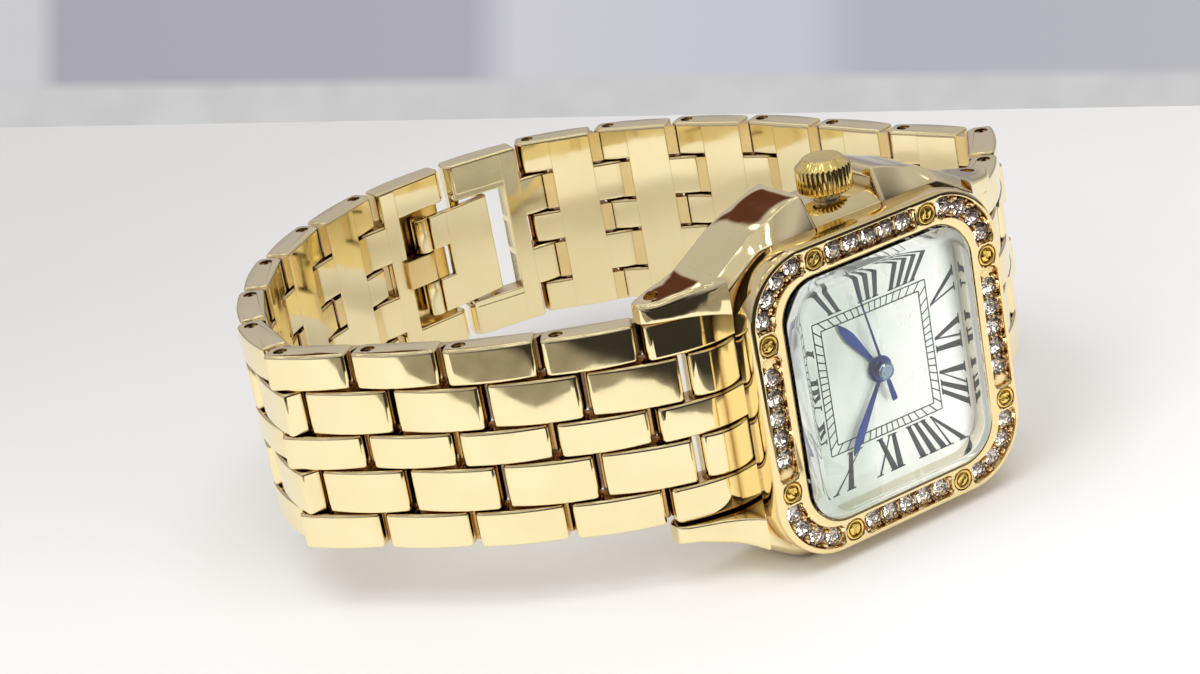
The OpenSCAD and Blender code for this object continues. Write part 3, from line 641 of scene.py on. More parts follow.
# side view of a lug, as x and y
FRONT_LINE = [(10.6, -4.6), (11.0, -3.95), (11.5, -3.35), (12.1, -2.8), (12.7, -2.36), (13.4, -1.95),
              (14.2, -1.5), (14.8, -1.12), (15.15, -0.8), (15.32, -0.5), (15.4, -0.1)]
BACK_LINE = [(10.6, 1.3), (13.3, 1.3), (14.0, 1.22), (14.7, 1.0), (15.1, 0.72), (15.3, 0.45), (15.4, 0.1)]


def blend(t):
    t = min(max(t, 0), 1)
    return t * t * (3 - 2 * t)


def flank(x):
    """Half width of the case at x."""
    steps = [inwards * blend((abs(x) - start) / run) for start, run, inwards in (WAIST, TIP)]
    return HALF_W - sum(steps)


def guard(x):
    """Height of the crown guards over the flank, with a recess between them."""
    x = abs(x)
    if x < GUARD_FROM:
        return -RECESS
    short = GUARD_FROM + SHOULDER - x
    shoulder = math.sqrt(max(0, 1 - (short / SHOULDER) ** 2)) if short > 0 else 1
    fall = (1 - blend((x - GUARD_FROM) / GUARD_RUN)) ** 1.2
    return -RECESS + (RECESS + GUARD_RISE * fall) * shoulder


def level_at(line, x):
    for (x0, y0), (x1, y1) in zip(line, line[1:]):
        if x <= x1:
            return y0 + (y1 - y0) * max(0, (x - x0)) / (x1 - x0)
    return line[-1][1]


def horn_section(x, crown):
    """Rounded rectangle across a lug at x, whose upper flank bulges by crown."""
    y0, y1, z0, z1 = level_at(FRONT_LINE, x), level_at(BACK_LINE, x), HORN_IN, flank(x)
    room = min(y1 - y0, z1 - z0) / 2 - 0.01
    r0, r1, r2, r3 = (min(r, room) for r in HORN_RADII)
    ring = outline([(z1, y0, r0), (z1, y1, r1), (z0, y1, r2), (z0, y0, r3)], 5)
    points = [(y, z) for z, y, _, _ in ring]

    def between(i, rise):
        (start, z), (end, _) = points[i - 1], points[i]
        return [(start + (end - start) * t, z + rise * (4 * t * (1 - t) - 1)) for t in (0.25, 0.5, 0.75)]
    return points[:6] + between(6, crown) + points[6:18] + between(18, 0) + points[18:]


def body_section(z0, z1):
    """Section across the case: flat front, slopes to both flanks, flat back."""
    corners = [(min(FACE_HALF, z1 - 0.7), FRONT_Y, EDGE_R), (z1 - 0.02, FRONT_Y + UPPER_SLOPE, SLOPE_R),
               (z1, BACK_Y, EDGE_R), (z0, BACK_Y, EDGE_R), (z0, FRONT_Y + LOWER_SLOPE, SLOPE_R),
               (max(-FACE_HALF, z0 + 0.5), FRONT_Y, EDGE_R)]
    points = [(y, z) for z, y, _, _ in outline(corners, 4)]
    start, upper = points[9][0], []
    for t in (0.2, 0.4, 0.6, 0.8):
        hump = 4 * t * (1 - t)
        upper.append((start + (BACK_Y - EDGE_R - start) * t, z1 - 0.06 * (1 - hump) * hump))
    return points[:10] + upper + points[10:]


def spread(low, high, step):
    count = max(2, int(round((high - low) / step)))
    return [low + (high - low) * k / count for k in range(count + 1)]


def body_shell():
    near = spread(0, GUARD_FROM - 0.01, 0.3) + spread(GUARD_FROM + 0.01, 3.25, 0.04)
    half = sorted({round(v, 4) for v in near + spread(3.25, 10.2, 0.2) + spread(10.2, BODY_X, 0.08)})
    return solid([[(x, y, z) for y, z in body_section(-flank(x), flank(x) + guard(x))]
                  for x in [-x for x in reversed(half)] + half[1:]])


def horn_shell(side, up):
    """One lug: from the body's end to the tip past its pin."""
    xs = spread(BODY_X, 11.0, 0.08) + spread(11.0, TIP_X - TIP_R, 0.15)[1:]
    xs += [TIP_X - TIP_R * math.cos(math.radians(a)) for a in (15, 30, 45, 57, 68, 78, 85)]
    loops = []
    for x in xs:
        section = horn_section(x, HORN_BULGE if x < BULGE_TO else TIP_BULGE)
        loops.append([(side * x, y, up * z) for y, z in section])
    return solid(loops)


def round_rect(hx, hz, r, arc=10, cuts=(1, 1, 1, 1)):
    """Points of a rounded rectangle in x and z: arcs, and straights cut evenly."""
    ring = outline([(hz, hx, r), (-hz, hx, r), (-hz, -hx, r), (hz, -hx, r)], arc)
    points = []
    for i, cut in enumerate(cuts):
        last = (i + 1) * (arc + 1)
        points += [(x, z) for z, x, _, _ in ring[last - arc - 1:last]]
        (x, z), (to_z, to_x) = points[-1], ring[last % len(ring)][:2]
        points += [(x + (to_x - x) * k / cut, z + (to_z - z) * k / cut) for k in range(1, cut)]
    return points


def prism(half, r, y0, y1):
    return solid([[(x, y, z) for x, z in round_rect(half, half, r)] for y in (y0, y1)])


def rod(x, y, r, z0, z1):
    return solid([[(a, b, z) for a, b, _, _ in circle(x, y, r, 32)] for z in (z0, z1)])


def carve(shell, cutters):
    """The mesh of a shell, less its cutters."""
    work = in_scene("work", shell.mesh("work", [gold, gold_inner_shaded]))
    tools = []
    for each in cutters:
        tool = in_scene("tool", each.mesh("tool", [gold_inner_shaded]))
        tools.append(tool)
        cut = work.modifiers.new("cut", "BOOLEAN")
        cut.operation = "DIFFERENCE"
        cut.solver = "EXACT"
        cut.object = tool
    view = bpy.context.evaluated_depsgraph_get()
    view.update()
    out = bpy.data.meshes.new_from_object(work.evaluated_get(view))
    for each in tools + [work]:
        bpy.data.objects.remove(each)
    return out


def merged(name, parts, materials):
    bm = bmesh.new()
    for data in parts:
        bm.from_mesh(data)
    out = bpy.data.meshes.new(name)
    bm.to_mesh(out)
    bm.free()
    out.materials.clear()
    for material in materials:
        out.materials.append(material)
    return out


def finger_shell():
    """Case ends shaped as half a link, tilted down to the lug pins."""
    shell = Shell()
    c, s = math.cos(math.radians(FINGER_TILT)), math.sin(math.radians(FINGER_TILT))
    wide_to = -HALF_T - LINK_GAP
    for side in (-1, 1):
        def put(along, n, z, side=side):
            return side * (LUG_X + along * c + n * s), min(along * s - n * c, BACK_Y - 0.02), z
        for z, width in ODD_ROWS:
            row(shell, put, FINGER_ROOT, HALF_T, z, width, True)
        for z in (-WIDE_Z, WIDE_Z):
            row(shell, put, FINGER_ROOT, wide_to, z, WIDE_W, True)
        slab(shell, box_outline(FINGER_ROOT, wide_to - 0.1, -HALF_T + 0.1, WEB_TOP, 0.08),
             -BAND / 2 + WEB_IN, BAND / 2 - WEB_IN, put, 0.08, INSIDE)
    return shell


# hollows for the movement, the lid and its gasket: half width, corner radius, and depth from and to
HOLLOWS = ((9.3, 2.5, -6, 3), (10.23, 3.2, 0.5, 3), (9.7, 2.8, 0.2, 0.6))
TUBE_R = 0.93
parts = [carve(body_shell(), [prism(*hollow) for hollow in HOLLOWS] + [rod(0, STEM_Y, TUBE_R, 9, 14)])]
for side in (-1, 1):
    for up in (-1, 1):
        parts.append(carve(horn_shell(side, up), [rod(side * LUG_X, 0, PIN_R + 0.02, -12, 12)]))
parts.append(finger_shell().mesh("fingers", [gold, gold_inner_shaded]))
shell_mesh = merged("case_shell", parts, [gold, gold_inner_shaded])
piece("case_shell", shell_mesh, "case", "case_body", slot="gold", angle=32)

# Bezel
BEZ_X, BEZ_Z, BEZ_R, BEZ_TOP = 10.7, 11.3, 4.85, -6.7
OPEN_X, OPEN_Z, OPEN_R = 8.05, 8.95, 2.9
# the row of stones: how far in it lies, its channel's depth and half width, and the step between stones
ROW_IN, CHANNEL, CHANNEL_HALF, STEP = 1.2, 0.35, 0.74, 1.5
RUN_X, RUN_Z, ROW_R = BEZ_X - BEZ_R, BEZ_Z - BEZ_R, BEZ_R - ROW_IN
HALF_ARC = math.pi / 4 * ROW_R
# how far a head sits before the end of its run, and where the channel ends beside it
HEAD_IN, HEAD_ROOM = 1.0, 0.92
HEAD_POCKET, CUP_R, CUP_DEPTH, CHANNEL_R = 0.3, 0.66, 0.62, 0.42
BEAD_R, BEAD_RISE, BEAD_OUT = 0.19, 0.36, 0.5
STRAIGHT_STONES, CORNER_STONES = range(-2, 3), 4
# rounded outer and inner edges, and the crystal's seat
BEZ_EDGE, OPEN_EDGE, SEAT_Y, SEAT_IN = 0.3, 0.22, -5.8, 0.35
# half the straight run and distance out of the sides, from the crown's clockwise
SIDES = [(RUN_X, BEZ_Z - ROW_IN), (RUN_Z, BEZ_X - ROW_IN)] * 2
SIDE_TURNS = [math.radians(90 * i) for i in range(4)]


def turned(x, z, turn):
    return x * math.cos(turn) + z * math.sin(turn), -x * math.sin(turn) + z * math.cos(turn)


def stone_spots():
    """Place and direction along the row of every stone, in x and z."""
    out = []
    for turn, (run, reach) in zip(SIDE_TURNS, SIDES):
        spots = [(k * STEP, reach, 1, 0) for k in STRAIGHT_STONES]
        for k in range(CORNER_STONES):
            a = math.radians((k + 0.5) * 90 / CORNER_STONES)
            spots.append((run + ROW_R * math.sin(a), reach - ROW_R + ROW_R * math.cos(a),
                          math.cos(a), -math.sin(a)))
        out += [turned(x, z, turn) + turned(dx, dz, turn) for x, z, dx, dz in spots]
    return out


STONES = stone_spots()
HEADS = [turned(side * (run - HEAD_IN), reach, turn)
         for turn, (run, reach) in zip(SIDE_TURNS, SIDES) for side in (-1, 1)]
# cuts of the bezel's corners and of the straight run after each
ARC_CUTS = 64
RUN_CUTS = [int(2 * run / 0.1) for run in (RUN_Z, RUN_X)] * 2


def row_path():
    """For each point round the bezel, its place along the row from the middle of its corner or straight
    run, and half the length of that run, or 0 on a corner."""
    out = []
    for run, cuts in zip((RUN_Z, RUN_X) * 2, RUN_CUTS):
        out += [(2 * HALF_ARC * (k / ARC_CUTS - 0.5), 0) for k in range(ARC_CUTS + 1)]
        out += [(2 * run * (k / cuts - 0.5), run) for k in range(1, cuts)]
    return out


def bezel_loop(inset):
    return round_rect(BEZ_X - inset, BEZ_Z - inset, BEZ_R - inset, ARC_CUTS, RUN_CUTS)


def opening_loop(inset):
    return round_rect(OPEN_X - inset, OPEN_Z - inset, OPEN_R - inset, ARC_CUTS, RUN_CUTS)


def ease(value, low, high):
    return blend((value - low) / (high - low))


def nearest(spots, x, z):
    return min(math.hypot(x - spot[0], z - spot[1]) for spot in spots)


def sunk(place, half_run, v, x, z):
    """Depth of the bezel's face at a place: channels, pockets of the heads and cups of the stones."""
    place = abs(place)
    half = HALF_ARC + HEAD_IN - HEAD_ROOM
    if half_run:
        if place > half_run - HEAD_IN + HEAD_ROOM:
            place = half_run - place + HALF_ARC
        else:
            half = half_run - HEAD_IN - HEAD_ROOM
    dx, dv = place - (half - CHANNEL_R), abs(v) - (CHANNEL_HALF - CHANNEL_R)
    distance = math.hypot(max(dx, 0), max(dv, 0)) + min(max(dx, dv), 0) - CHANNEL_R
    to_head = nearest(HEADS, x, z)
    depth = max(CHANNEL * ease(-distance, -0.05, 0.05), HEAD_POCKET * ease(-to_head, -0.80, -0.74))
    if depth > 0.2 and to_head > 0.9:
        cup = nearest(STONES, x, z)
        if cup < CUP_R:
            depth += CUP_DEPTH * math.sqrt(1 - (cup / CUP_R) ** 2)
    return depth


def quarter(first, last):
    """Sine and cosine at the fourths of a quarter turn, for a rounded edge."""
    return [(math.sin(math.pi / 8 * k), math.cos(math.pi / 8 * k)) for k in range(first, last + 1)]


def bead(shell, cx, cz):
    base = BEZ_TOP + CHANNEL + 0.05
    shell.stack([flat_ring(cx, cz, BEAD_R * c, base - BEAD_RISE * s, 10) for s, c in quarter(0, 3)])


def bezel_shell():
    shell = Shell()
    loops = []

    def ring(inset, y):
        loops.append([(x, y, z) for x, z in bezel_loop(inset)])
    # back, wall and rounded outer edge
    for inset, y in ((0.5, FRONT_Y), (0.06, FRONT_Y), (0.0, FRONT_Y - 0.06), (0.0, BEZ_TOP + 0.32)):
        ring(inset, y)
    for s, c in quarter(1, 4):
        ring(BEZ_EDGE * (1 - c), BEZ_TOP + BEZ_EDGE - BEZ_EDGE * s)
    # the face across the row, finer at the walls of the channel
    across = (0.12, 0.24, 0.36, 0.48, 0.58, 0.68, 0.71, 0.74, 0.77, 0.80)
    path = row_path()
    for v in [-v for v in reversed(across)] + [0, *across]:
        loops.append([(x, BEZ_TOP + sunk(*spot, v, x, z), z)
                      for spot, (x, z) in zip(path, bezel_loop(ROW_IN + v))])

    def inner(share, inset, y):
        """Loop part of the way from the face to the opening."""
        loops.append([(x0 + (x1 - x0) * share, y, z0 + (z1 - z0) * share)
                      for (x0, z0), (x1, z1) in zip(bezel_loop(2.0), opening_loop(inset))])
    # broad inner rim, falling over a rounded edge to the crystal's seat
    inner(0.12, 0, BEZ_TOP)
    for s, c in quarter(0, 4):
        inner(1, -OPEN_EDGE * (1 - s), BEZ_TOP + OPEN_EDGE * (1 - c))
    for inset, y in ((0, SEAT_Y - 0.05), (0, SEAT_Y), (SEAT_IN, SEAT_Y), (SEAT_IN, FRONT_Y)):
        inner(1, inset, y)
    ids = [shell.loop(points) for points in loops]
    for k, (a, b) in enumerate(zip(ids, ids[1:])):
        shell.band(a, b, 1 if k >= len(ids) - 5 else 0)
    shell.band(ids[-1], ids[0])
    # small beads hold each stone beside its neighbours
    for x, z, dx, dz in STONES:
        for side in (-1, 1):
            cx, cz = x + dx * side * STEP / 2, z + dz * side * STEP / 2
            if nearest(HEADS, cx, cz) < 1.0:
                continue
            for v in (-BEAD_OUT, BEAD_OUT):
                bead(shell, cx - dz * v, cz + dx * v)
    return shell


piece("bezel_ring", bezel_shell().mesh("bezel_ring", [gold_bezel, wall_metal]), "case", "bezel", slot="gold",
      angle=50)

# Slotted heads: radius and depth of each loop of a raised ring round a domed disc
HEAD_PROFILE = [(0.75, 0.34), (0.75, 0.08), (0.72, 0.03), (0.66, 0.0), (0.58, 0.02), (0.545, 0.07),
                (0.53, 0.2), (0.47, 0.2), (0.455, 0.08), (0.42, 0.04), (0.30, 0.02), (0.15, 0.01),
                (0.05, 0.01)]
DISC_R, SLOT_DEPTH = 0.46, 0.13
shell = Shell()
for number, (hx, hz) in enumerate(HEADS):
    slot_turn = math.radians(35 + 47 * number)
    loops = []
    for r, down in HEAD_PROFILE:
        points = []
        for x, y, z in flat_ring(0, 0, r, BEZ_TOP + down, 48):
            off = abs(x * math.sin(slot_turn) - z * math.cos(slot_turn))
            slot = SLOT_DEPTH * ease(-off, -0.13, -0.07) if r < DISC_R else 0
            points.append((hx + x, y + slot, hz + z))
        loops.append(points)
    shell.stack(loops)
piece("bezel_heads", shell.mesh("bezel_heads", [gold_heads]), "case", "bezel_screws", slot="gold", angle=55)


# a stone's rings, as radius and depth, with its girdle and its point
TABLE, STAR, PAVILION, POINT = (0.36, -0.28), (0.53, -0.17), (0.40, 0.22), 0.48
STONE_R, GIRDLE_HALF = 0.665, 0.02


def cut_stone(shell, sx, sz, start):
    """A round cut stone over bright foil: table, star, girdle, and pavilion down to its point."""
    top = BEZ_TOP + CHANNEL

    def ring(r, y, count, twist=0.0):
        return shell.loop(flat_ring(sx, sz, r, top + y, count, start + math.tau * twist / count))
    table = ring(*TABLE, 8, 0.5)
    star = ring(*STAR, 8)
    girdle = ring(STONE_R, -GIRDLE_HALF, 16)
    lower = ring(STONE_R, GIRDLE_HALF, 16)
    mid = ring(*PAVILION, 8, 0.5)
    point = shell.loop([(sx, top + POINT, sz)])[0]
    shell.face(table)
    for k in range(8):
        g, after, last = 2 * k, (2 * k + 1) % 16, (2 * k + 2) % 16
        next_star = star[(k + 1) % 8]
        for ids in ((table[k], table[k - 1], star[k]), (table[k], star[k], next_star),
                    (star[k], girdle[g], girdle[g - 1]), (star[k], girdle[after], girdle[g]),
                    (star[k], next_star, girdle[after])):
            shell.face(ids)
        for ids in ((mid[k], lower[after], lower[g]), (mid[k], lower[last], lower[after]),
                    (mid[k], mid[k - 1], lower[g]), (mid[k], point, mid[k - 1])):
            shell.face(ids, 1)
    shell.band(girdle, lower)


shell = Shell()
for number, (x, z, _, _) in enumerate(STONES):
    cut_stone(shell, x, z, math.radians(17 * number))
piece("cut_stones", shell.mesh("cut_stones", [stone, foil]), "case", "bezel_stones", slot="stone", flat=True)

# Crystal: a thick block with a bevelled front edge, as inset and depth of each loop
CRYSTAL_X, CRYSTAL_Z, CRYSTAL_R = 8.0, 8.9, 2.85
CRYSTAL_PROFILE = ((0.06, -6.0), (0.0, -6.06), (0.0, -6.80), (0.04, -6.85), (0.22, -7.04), (0.40, -7.22),
                   (0.54, -7.35), (0.66, -7.43), (0.78, -7.48), (0.90, -7.5))
loops = []
for inset, y in CRYSTAL_PROFILE:
    ring = round_rect(CRYSTAL_X - inset, CRYSTAL_Z - inset, CRYSTAL_R - inset, 12, [6] * 4)
    loops.append([(x, y, z) for x, z in ring])
crystal_mesh = solid(loops).mesh("crystal_block", [glass])
crystal = piece("crystal_block", crystal_mesh, "case", "crystal", slot="crystal", angle=50)
crystal.visible_shadow = False

# Dial print
DIAL_Y = FRONT_Y - 0.015
TRACK_OUT, TRACK_IN, TRACK_LINE = 4.93, 4.27, 0.095
# in a numeral's own units: widths of thick and thin strokes, serifs past a stroke, room of an I, and
# half the spread of a V or X with the room beside it
STROKE, HAIR, SERIF_OVER, LETTER, SPREAD, BESIDE = 0.43, 0.16, 0.13, 0.78, 0.56, 0.02
# thickness of a serif on the dial
SERIF = 0.11
# distance from the middle and height of the numerals: beside 3 and 9, beside 6 and 12
NUMERALS = ((6.52, 2.76), (6.28, 2.32))
# how much they close up along their side
CLOSE_UP = 0.97
TEXTS = ("I", "II", "III", "IIII", "V", "VI", "VII", "VIII", "IX", "X", "XI", "XII")


def polygon(shell, points):
    shell.face(shell.loop([(x, DIAL_Y, z) for x, z in points]))


def line(shell, x0, z0, x1, z1):
    dx, dz = unit(x1 - x0, z1 - z0)
    a, b = -dz * TRACK_LINE / 2, dx * TRACK_LINE / 2
    polygon(shell, [(x0 + a, z0 + b), (x1 + a, z1 + b), (x1 - a, z1 - b), (x0 - a, z0 - b)])


def glyph(text, depth):
    """Strokes of a Roman numeral, one unit tall, as quads, and its width."""
    quads = []

    def leg(top, top_to, bottom, bottom_to):
        quads.append([(top, 0.5), (top_to, 0.5), (bottom_to, -0.5), (bottom, -0.5)])

    def serif(x, half, y):
        inner = y - depth if y > 0 else y + depth
        quads.append([(x - half, y), (x + half, y), (x + half, inner), (x - half, inner)])
    half, broad = STROKE / 2, STROKE / 2 + SERIF_OVER
    x = 0.0
    for letter in text:
        if letter == "I":
            quads.append([(x - half, -0.5), (x - half, 0.5), (x + half, 0.5), (x + half, -0.5)])
            serif(x, broad, -0.5)
            serif(x, broad, 0.5)
            x += LETTER
            continue
        x += SPREAD - LETTER / 2 + BESIDE
        left, right = x - SPREAD, x + SPREAD
        if letter == "V":
            leg(left - half, left + half, x - 0.14, x + 0.16)
            leg(right - HAIR, right, x - 0.06, x + 0.06)
            serif(left, broad, 0.5)
            serif(right - HAIR / 2, 0.26, 0.5)
        else:
            leg(left - half, left + half, right - half, right + half)
            leg(right - HAIR / 2, right + HAIR / 2, left - HAIR / 2, left + HAIR / 2)
            serif(left, broad, 0.5)
            serif(right, broad, -0.5)
            serif(right, 0.24, 0.5)
            serif(left, 0.24, -0.5)
        x += SPREAD + LETTER / 2 + BESIDE
    return quads, x - LETTER


def numeral(shell, hour, text):
    """A numeral that stands on its side of the square track and widens outwards."""
    side = (hour - 2) % 12 // 3
    out = ((0, 1), (1, 0), (0, -1), (-1, 0))[side]
    right = ((1, 0), (0, -1), (-1, 0), (0, 1))[side]
    centre, tall = NUMERALS[side % 2]
    offset = (hour - 3 * (side + 1) + 6) % 12 - 6
    lateral = centre * math.tan(math.radians(30 * offset)) * CLOSE_UP
    quads, width = glyph(text, SERIF / tall)
    for quad in quads:
        points = []
        for x, y in quad:
            reach = centre + y * tall
            over = (lateral + x - width / 2) * reach / centre
            points.append((out[0] * reach + right[0] * over, out[1] * reach + right[1] * over))
        polygon(shell, points)


shell = Shell()
corners = [(-1, -1), (1, -1), (1, 1), (-1, 1)]
for half in (TRACK_OUT, TRACK_IN):
    for (x0, z0), (x1, z1) in zip(corners, corners[1:] + corners[:1]):
        line(shell, x0 * half, z0 * half, x1 * half, z1 * half)
for a in angles(60):
    c, s = math.cos(a), math.sin(a)
    inner, outer = (track / max(abs(c), abs(s)) for track in (TRACK_IN, TRACK_OUT))
    line(shell, inner * c, inner * s, outer * c, outer * s)
for hour, text in enumerate(TEXTS, 1):
    numeral(shell, hour, text)
print_mesh = shell.mesh("dial_print", [ink], recalc=False)
bm = bmesh.new()
bm.from_mesh(print_mesh)
for face in bm.faces:
    if face.normal.y > 0:
        face.normal_flip()
bm.to_mesh(print_mesh)
bm.free()
piece("dial_print", print_mesh, "case", flat=True)


# Hands
def hand(name, body, node, angle, base, length, widths, hub, thick=0.12):
    """A hand with a ridge down its middle, turned by angle from 12 o'clock. Widths are shares of its
    length with half widths, and hub is the radius of its hub and of the bore."""
    shell = Shell()
    turn = math.radians(angle)
    loops = []
    for share, half in widths:
        section = ((thick, half), (thick * 0.35, half), (0, 0), (thick * 0.35, -half), (thick, -half))
        places = [(turned(-length * share, z, turn), base + y) for y, z in section]
        loops.append([(x, y, z) for (x, z), y in places])
    shell.stack(loops)
    r, bore = hub
    back = base + thick
    rings = [(bore, back), (r - 0.03, back), (r, back - 0.03), (r, base + 0.03), (r - 0.05, base - 0.02),
             (bore, base - 0.02)]
    ids = [shell.loop(flat_ring(0, 0, q, y, 40)) for q, y in rings]
    for a, b in zip(ids, ids[1:] + ids[:1]):
        shell.band(a, b)
    piece(name, shell.mesh(name, [blue_steel]), body, node, slot="blue_steel", angle=20)


LEAF = [(0.10, 0.16), (0.25, 0.19), (0.45, 0.28), (0.62, 0.37), (0.74, 0.38), (0.86, 0.27), (0.95, 0.12),
        (1.0, 0.02)]
LONG_LEAF = [(0.08, 0.14), (0.3, 0.18), (0.55, 0.26), (0.72, 0.33), (0.82, 0.32), (0.92, 0.20), (0.97, 0.09),
             (1.0, 0.02)]
NEEDLE = [(-0.36, 0.20), (-0.34, 0.23), (-0.15, 0.16), (0.0, 0.10), (0.5, 0.075), (1.0, 0.05)]
hand("hand_hour", "hours", "hour_hand", 55.4, -4.95, 5.3, LEAF, (0.98, 0.73))
hand("hand_minute", "minutes", "minute_hand", 303, -5.2, 6.3, LONG_LEAF, (0.84, 0.46))
hand("hand_second", "seconds", "second_hand", 78, -5.45, 6.7, NEEDLE, (0.5, 0.13), 0.1)

# Cap over the hands' hubs, as radius and depth of each loop
CAP = [(0.13, -5.38), (0.62, -5.38), (0.64, -5.42), (0.64, -5.56), (0.60, -5.62), (0.50, -5.65),
       (0.48, -5.61), (0.30, -5.62), (0.27, -5.67), (0.14, -5.68), (0.03, -5.68)]
cap = solid([flat_ring(0, 0, r, y, 48) for r, y in CAP])
piece("hub_cap", cap.mesh("hub_cap", [hub_steel]), "seconds", angle=30)

# Crown, from the end of its bore, as radius, height and share of the flutes' depth of each loop
CROWN_Z, FLUTES, FLUTE_DEPTH, BORE_R = 12.65, 32, 0.11, 1.05
CROWN = [(BORE_R, 1.6, 0), (BORE_R, 0.0, 0), (1.15, 0.0, 0), (1.76, 0.0, 0.2), (1.88, 0.08, 0.8),
         (1.95, 0.18, 1), (1.96, 1.0, 1), (1.95, 1.76, 1), (1.90, 1.84, 0.8), (1.84, 1.88, 0.15),
         (1.80, 1.90, 0), (1.42, 2.30, 0), (1.36, 2.35, 0), (1.28, 2.39, 0), (1.18, 2.40, 0), (1.0, 2.38, 0),
         (0.3, 2.38, 0)]
loops = []
for r, z, flute in CROWN:
    points = []
    for a in angles(FLUTES * 8):
        valley = 0.5 + 0.5 * math.cos(FLUTES * a)
        reach = r - FLUTE_DEPTH * flute * valley ** 1.2
        points.append((reach * math.cos(a), STEM_Y + reach * math.sin(a), CROWN_Z + z))
    loops.append(points)
crown_mesh = solid(loops).mesh("crown_knob", [gold_crown])
piece("crown_knob", crown_mesh, "winder", "crown", slot="gold", angle=40)

# Materials of the nodes that stay as they are
KEPT = (
    (pearl, "dial"), (ring_plastic, "crystal_gasket movement_ring"), (rubber, "back_gasket crown_gasket"),
    (gold_pin, "lug_pins"), (board, "circuit_board"), (copper, "coil"), (magnet, "rotor"),
    (steel_bright, "bridge_screws"),
    (steel, "case_back crown_tube quartz_can stator battery battery_clip setting_lever stem clutch"),
    (brass, "main_plate train_bridge"),
    (brass, "step_wheel third_wheel second_wheel centre_wheel minute_wheel hour_wheel"))
for material, nodes in KEPT:
    for node in nodes.split():
        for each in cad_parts[node].material_slots:
            each.link = "OBJECT"
            each.material = material


# Table: a pale floor, and a dark card on it that only the watch's reflections see
def stage_plane(name, corners, material):
    data = bpy.data.meshes.new(name)
    data.from_pydata(corners, [], [tuple(range(len(corners)))])
    data.materials.append(material)
    obj = in_scene(name, data)
    return obj


def hide_from(obj, *rays):
    for ray in rays:
        setattr(obj, "visible_" + ray, False)


table_mat, tree, shader = new_material("table_white")
table_white = mottled(tree, 8, (0.90, 0.90, 0.905), (0.93, 0.93, 0.93), 2.0)
# painted shade: the floor darkens towards its far end
painted_far_shade = ramp(tree, to_range(tree, axes(tree)["Y"], 0, 1, -0.02, 0.12), [
    (0.0, (1, 1, 1)), (1.0, (0.80, 0.80, 0.79))])
fill(tree, shader, {
    "Base Color": mixed(tree, 1.0, table_white, painted_far_shade, "MULTIPLY"),
    "Roughness": to_range(tree, noise(tree, 40), 0.35, 0.45)})
bump(tree, shader, [(noise(tree, 1200), 0.05, 0.00001)])
# the table ends behind the watch, along the line that the photo shows
stage_plane("floor", [(-0.9, -0.9, 0), (0.6, -0.9, 0), (0.6, -0.84, 0), (-0.4, 0.848, 0), (-0.9, 0.848, 0)],
            table_mat)

card_mat, tree, shader = new_material("card_dark")
olive = mottled(tree, 90, (0.20, 0.185, 0.16), (0.30, 0.28, 0.25))
black = mottled(tree, 8, (0.010, 0.009, 0.008), (0.016, 0.014, 0.012))
to_front = to_range(tree, axes(tree)["Y"], 1, 0, -0.036, -0.029)
fill(tree, shader, {"Base Color": mixed(tree, to_front, olive, black), "Roughness": 0.9})
CARD = [(-0.6, -0.9), (0.9, -0.9), (0.9, -0.085), (0.03, -0.070), (0.008, -0.050), (0.004, -0.030),
        (0.003, -0.017), (-0.003, -0.022), (-0.007, -0.0275), (-0.013, -0.0300), (-0.022, -0.0305),
        (-0.032, -0.033), (-0.042, -0.030), (-0.050, -0.015), (-0.070, -0.004), (-0.12, -0.002),
        (-0.6, -0.01)]
card = stage_plane("dark_card", [(x, y, 0.0005) for x, y in CARD], card_mat)
hide_from(card, "camera", "diffuse", "shadow")

# Camera: focal length in pixels of a frame that is 1200 wide, then its place and its turns in degrees
FOCAL, FRAME_W, SENSOR_W = 2825.7, 1200, 36
CAMERA_AT = (-0.10427, -0.1521, 0.08812)
yaw, pitch, roll = (math.radians(v) for v in (29.21, 21.14, -10.51))
ahead = Vector((math.sin(yaw) * math.cos(pitch), math.cos(yaw) * math.cos(pitch), -math.sin(pitch)))
level_right = Vector((math.cos(yaw), -math.sin(yaw), 0))
level_up = level_right.cross(ahead)
right = level_right * math.cos(roll) + level_up * math.sin(roll)
up = -level_right * math.sin(roll) + level_up * math.cos(roll)


def as_camera(place, size=1.0):
    """A matrix turned as the camera is, at a place, with its axes of a size."""
    columns = (right * size, up * size, -ahead * size, place)
    return Matrix([[column[i] for column in columns] for i in range(3)] + [[0, 0, 0, 1]])


lens = bpy.data.cameras.new("camera")
lens.sensor_width = SENSOR_W
lens.lens = FOCAL / FRAME_W * SENSOR_W
lens.clip_start = 0.005
camera = in_scene("camera", lens)
camera.matrix_world = as_camera(CAMERA_AT)
bpy.context.scene.camera = camera

# Lamps: place, what they shine at, size, power and colour
LAMPS = {
    "lamp_top": ((-0.12, -0.10, 0.5), (0, -0.02, 0), (0.55, 0.4), 1.75, (1, 1, 1)),
    "lamp_left": ((-0.5, -0.15, 0.3), (0, 0.02, 0.01), (0.3, 0.3), 0.6, (1.0, 0.98, 0.95)),
    "lamp_front": ((0.12, -0.62, 0.17), (0, 0, 0.015), (0.30, 0.20), 1.5, (1.0, 0.99, 0.97)),
}
for name, (place, target, size, power, colour) in LAMPS.items():
    data = bpy.data.lights.new(name, "AREA")
    data.shape = "RECTANGLE"
    data.size, data.size_y = size
    data.energy = power
    data.color = colour
    lamp = in_scene(name, data)
    lamp.location = place
    lamp.rotation_euler = (Vector(target) - Vector(place)).to_track_quat("-Z", "Y").to_euler()
    lamp.visible_glossy = False

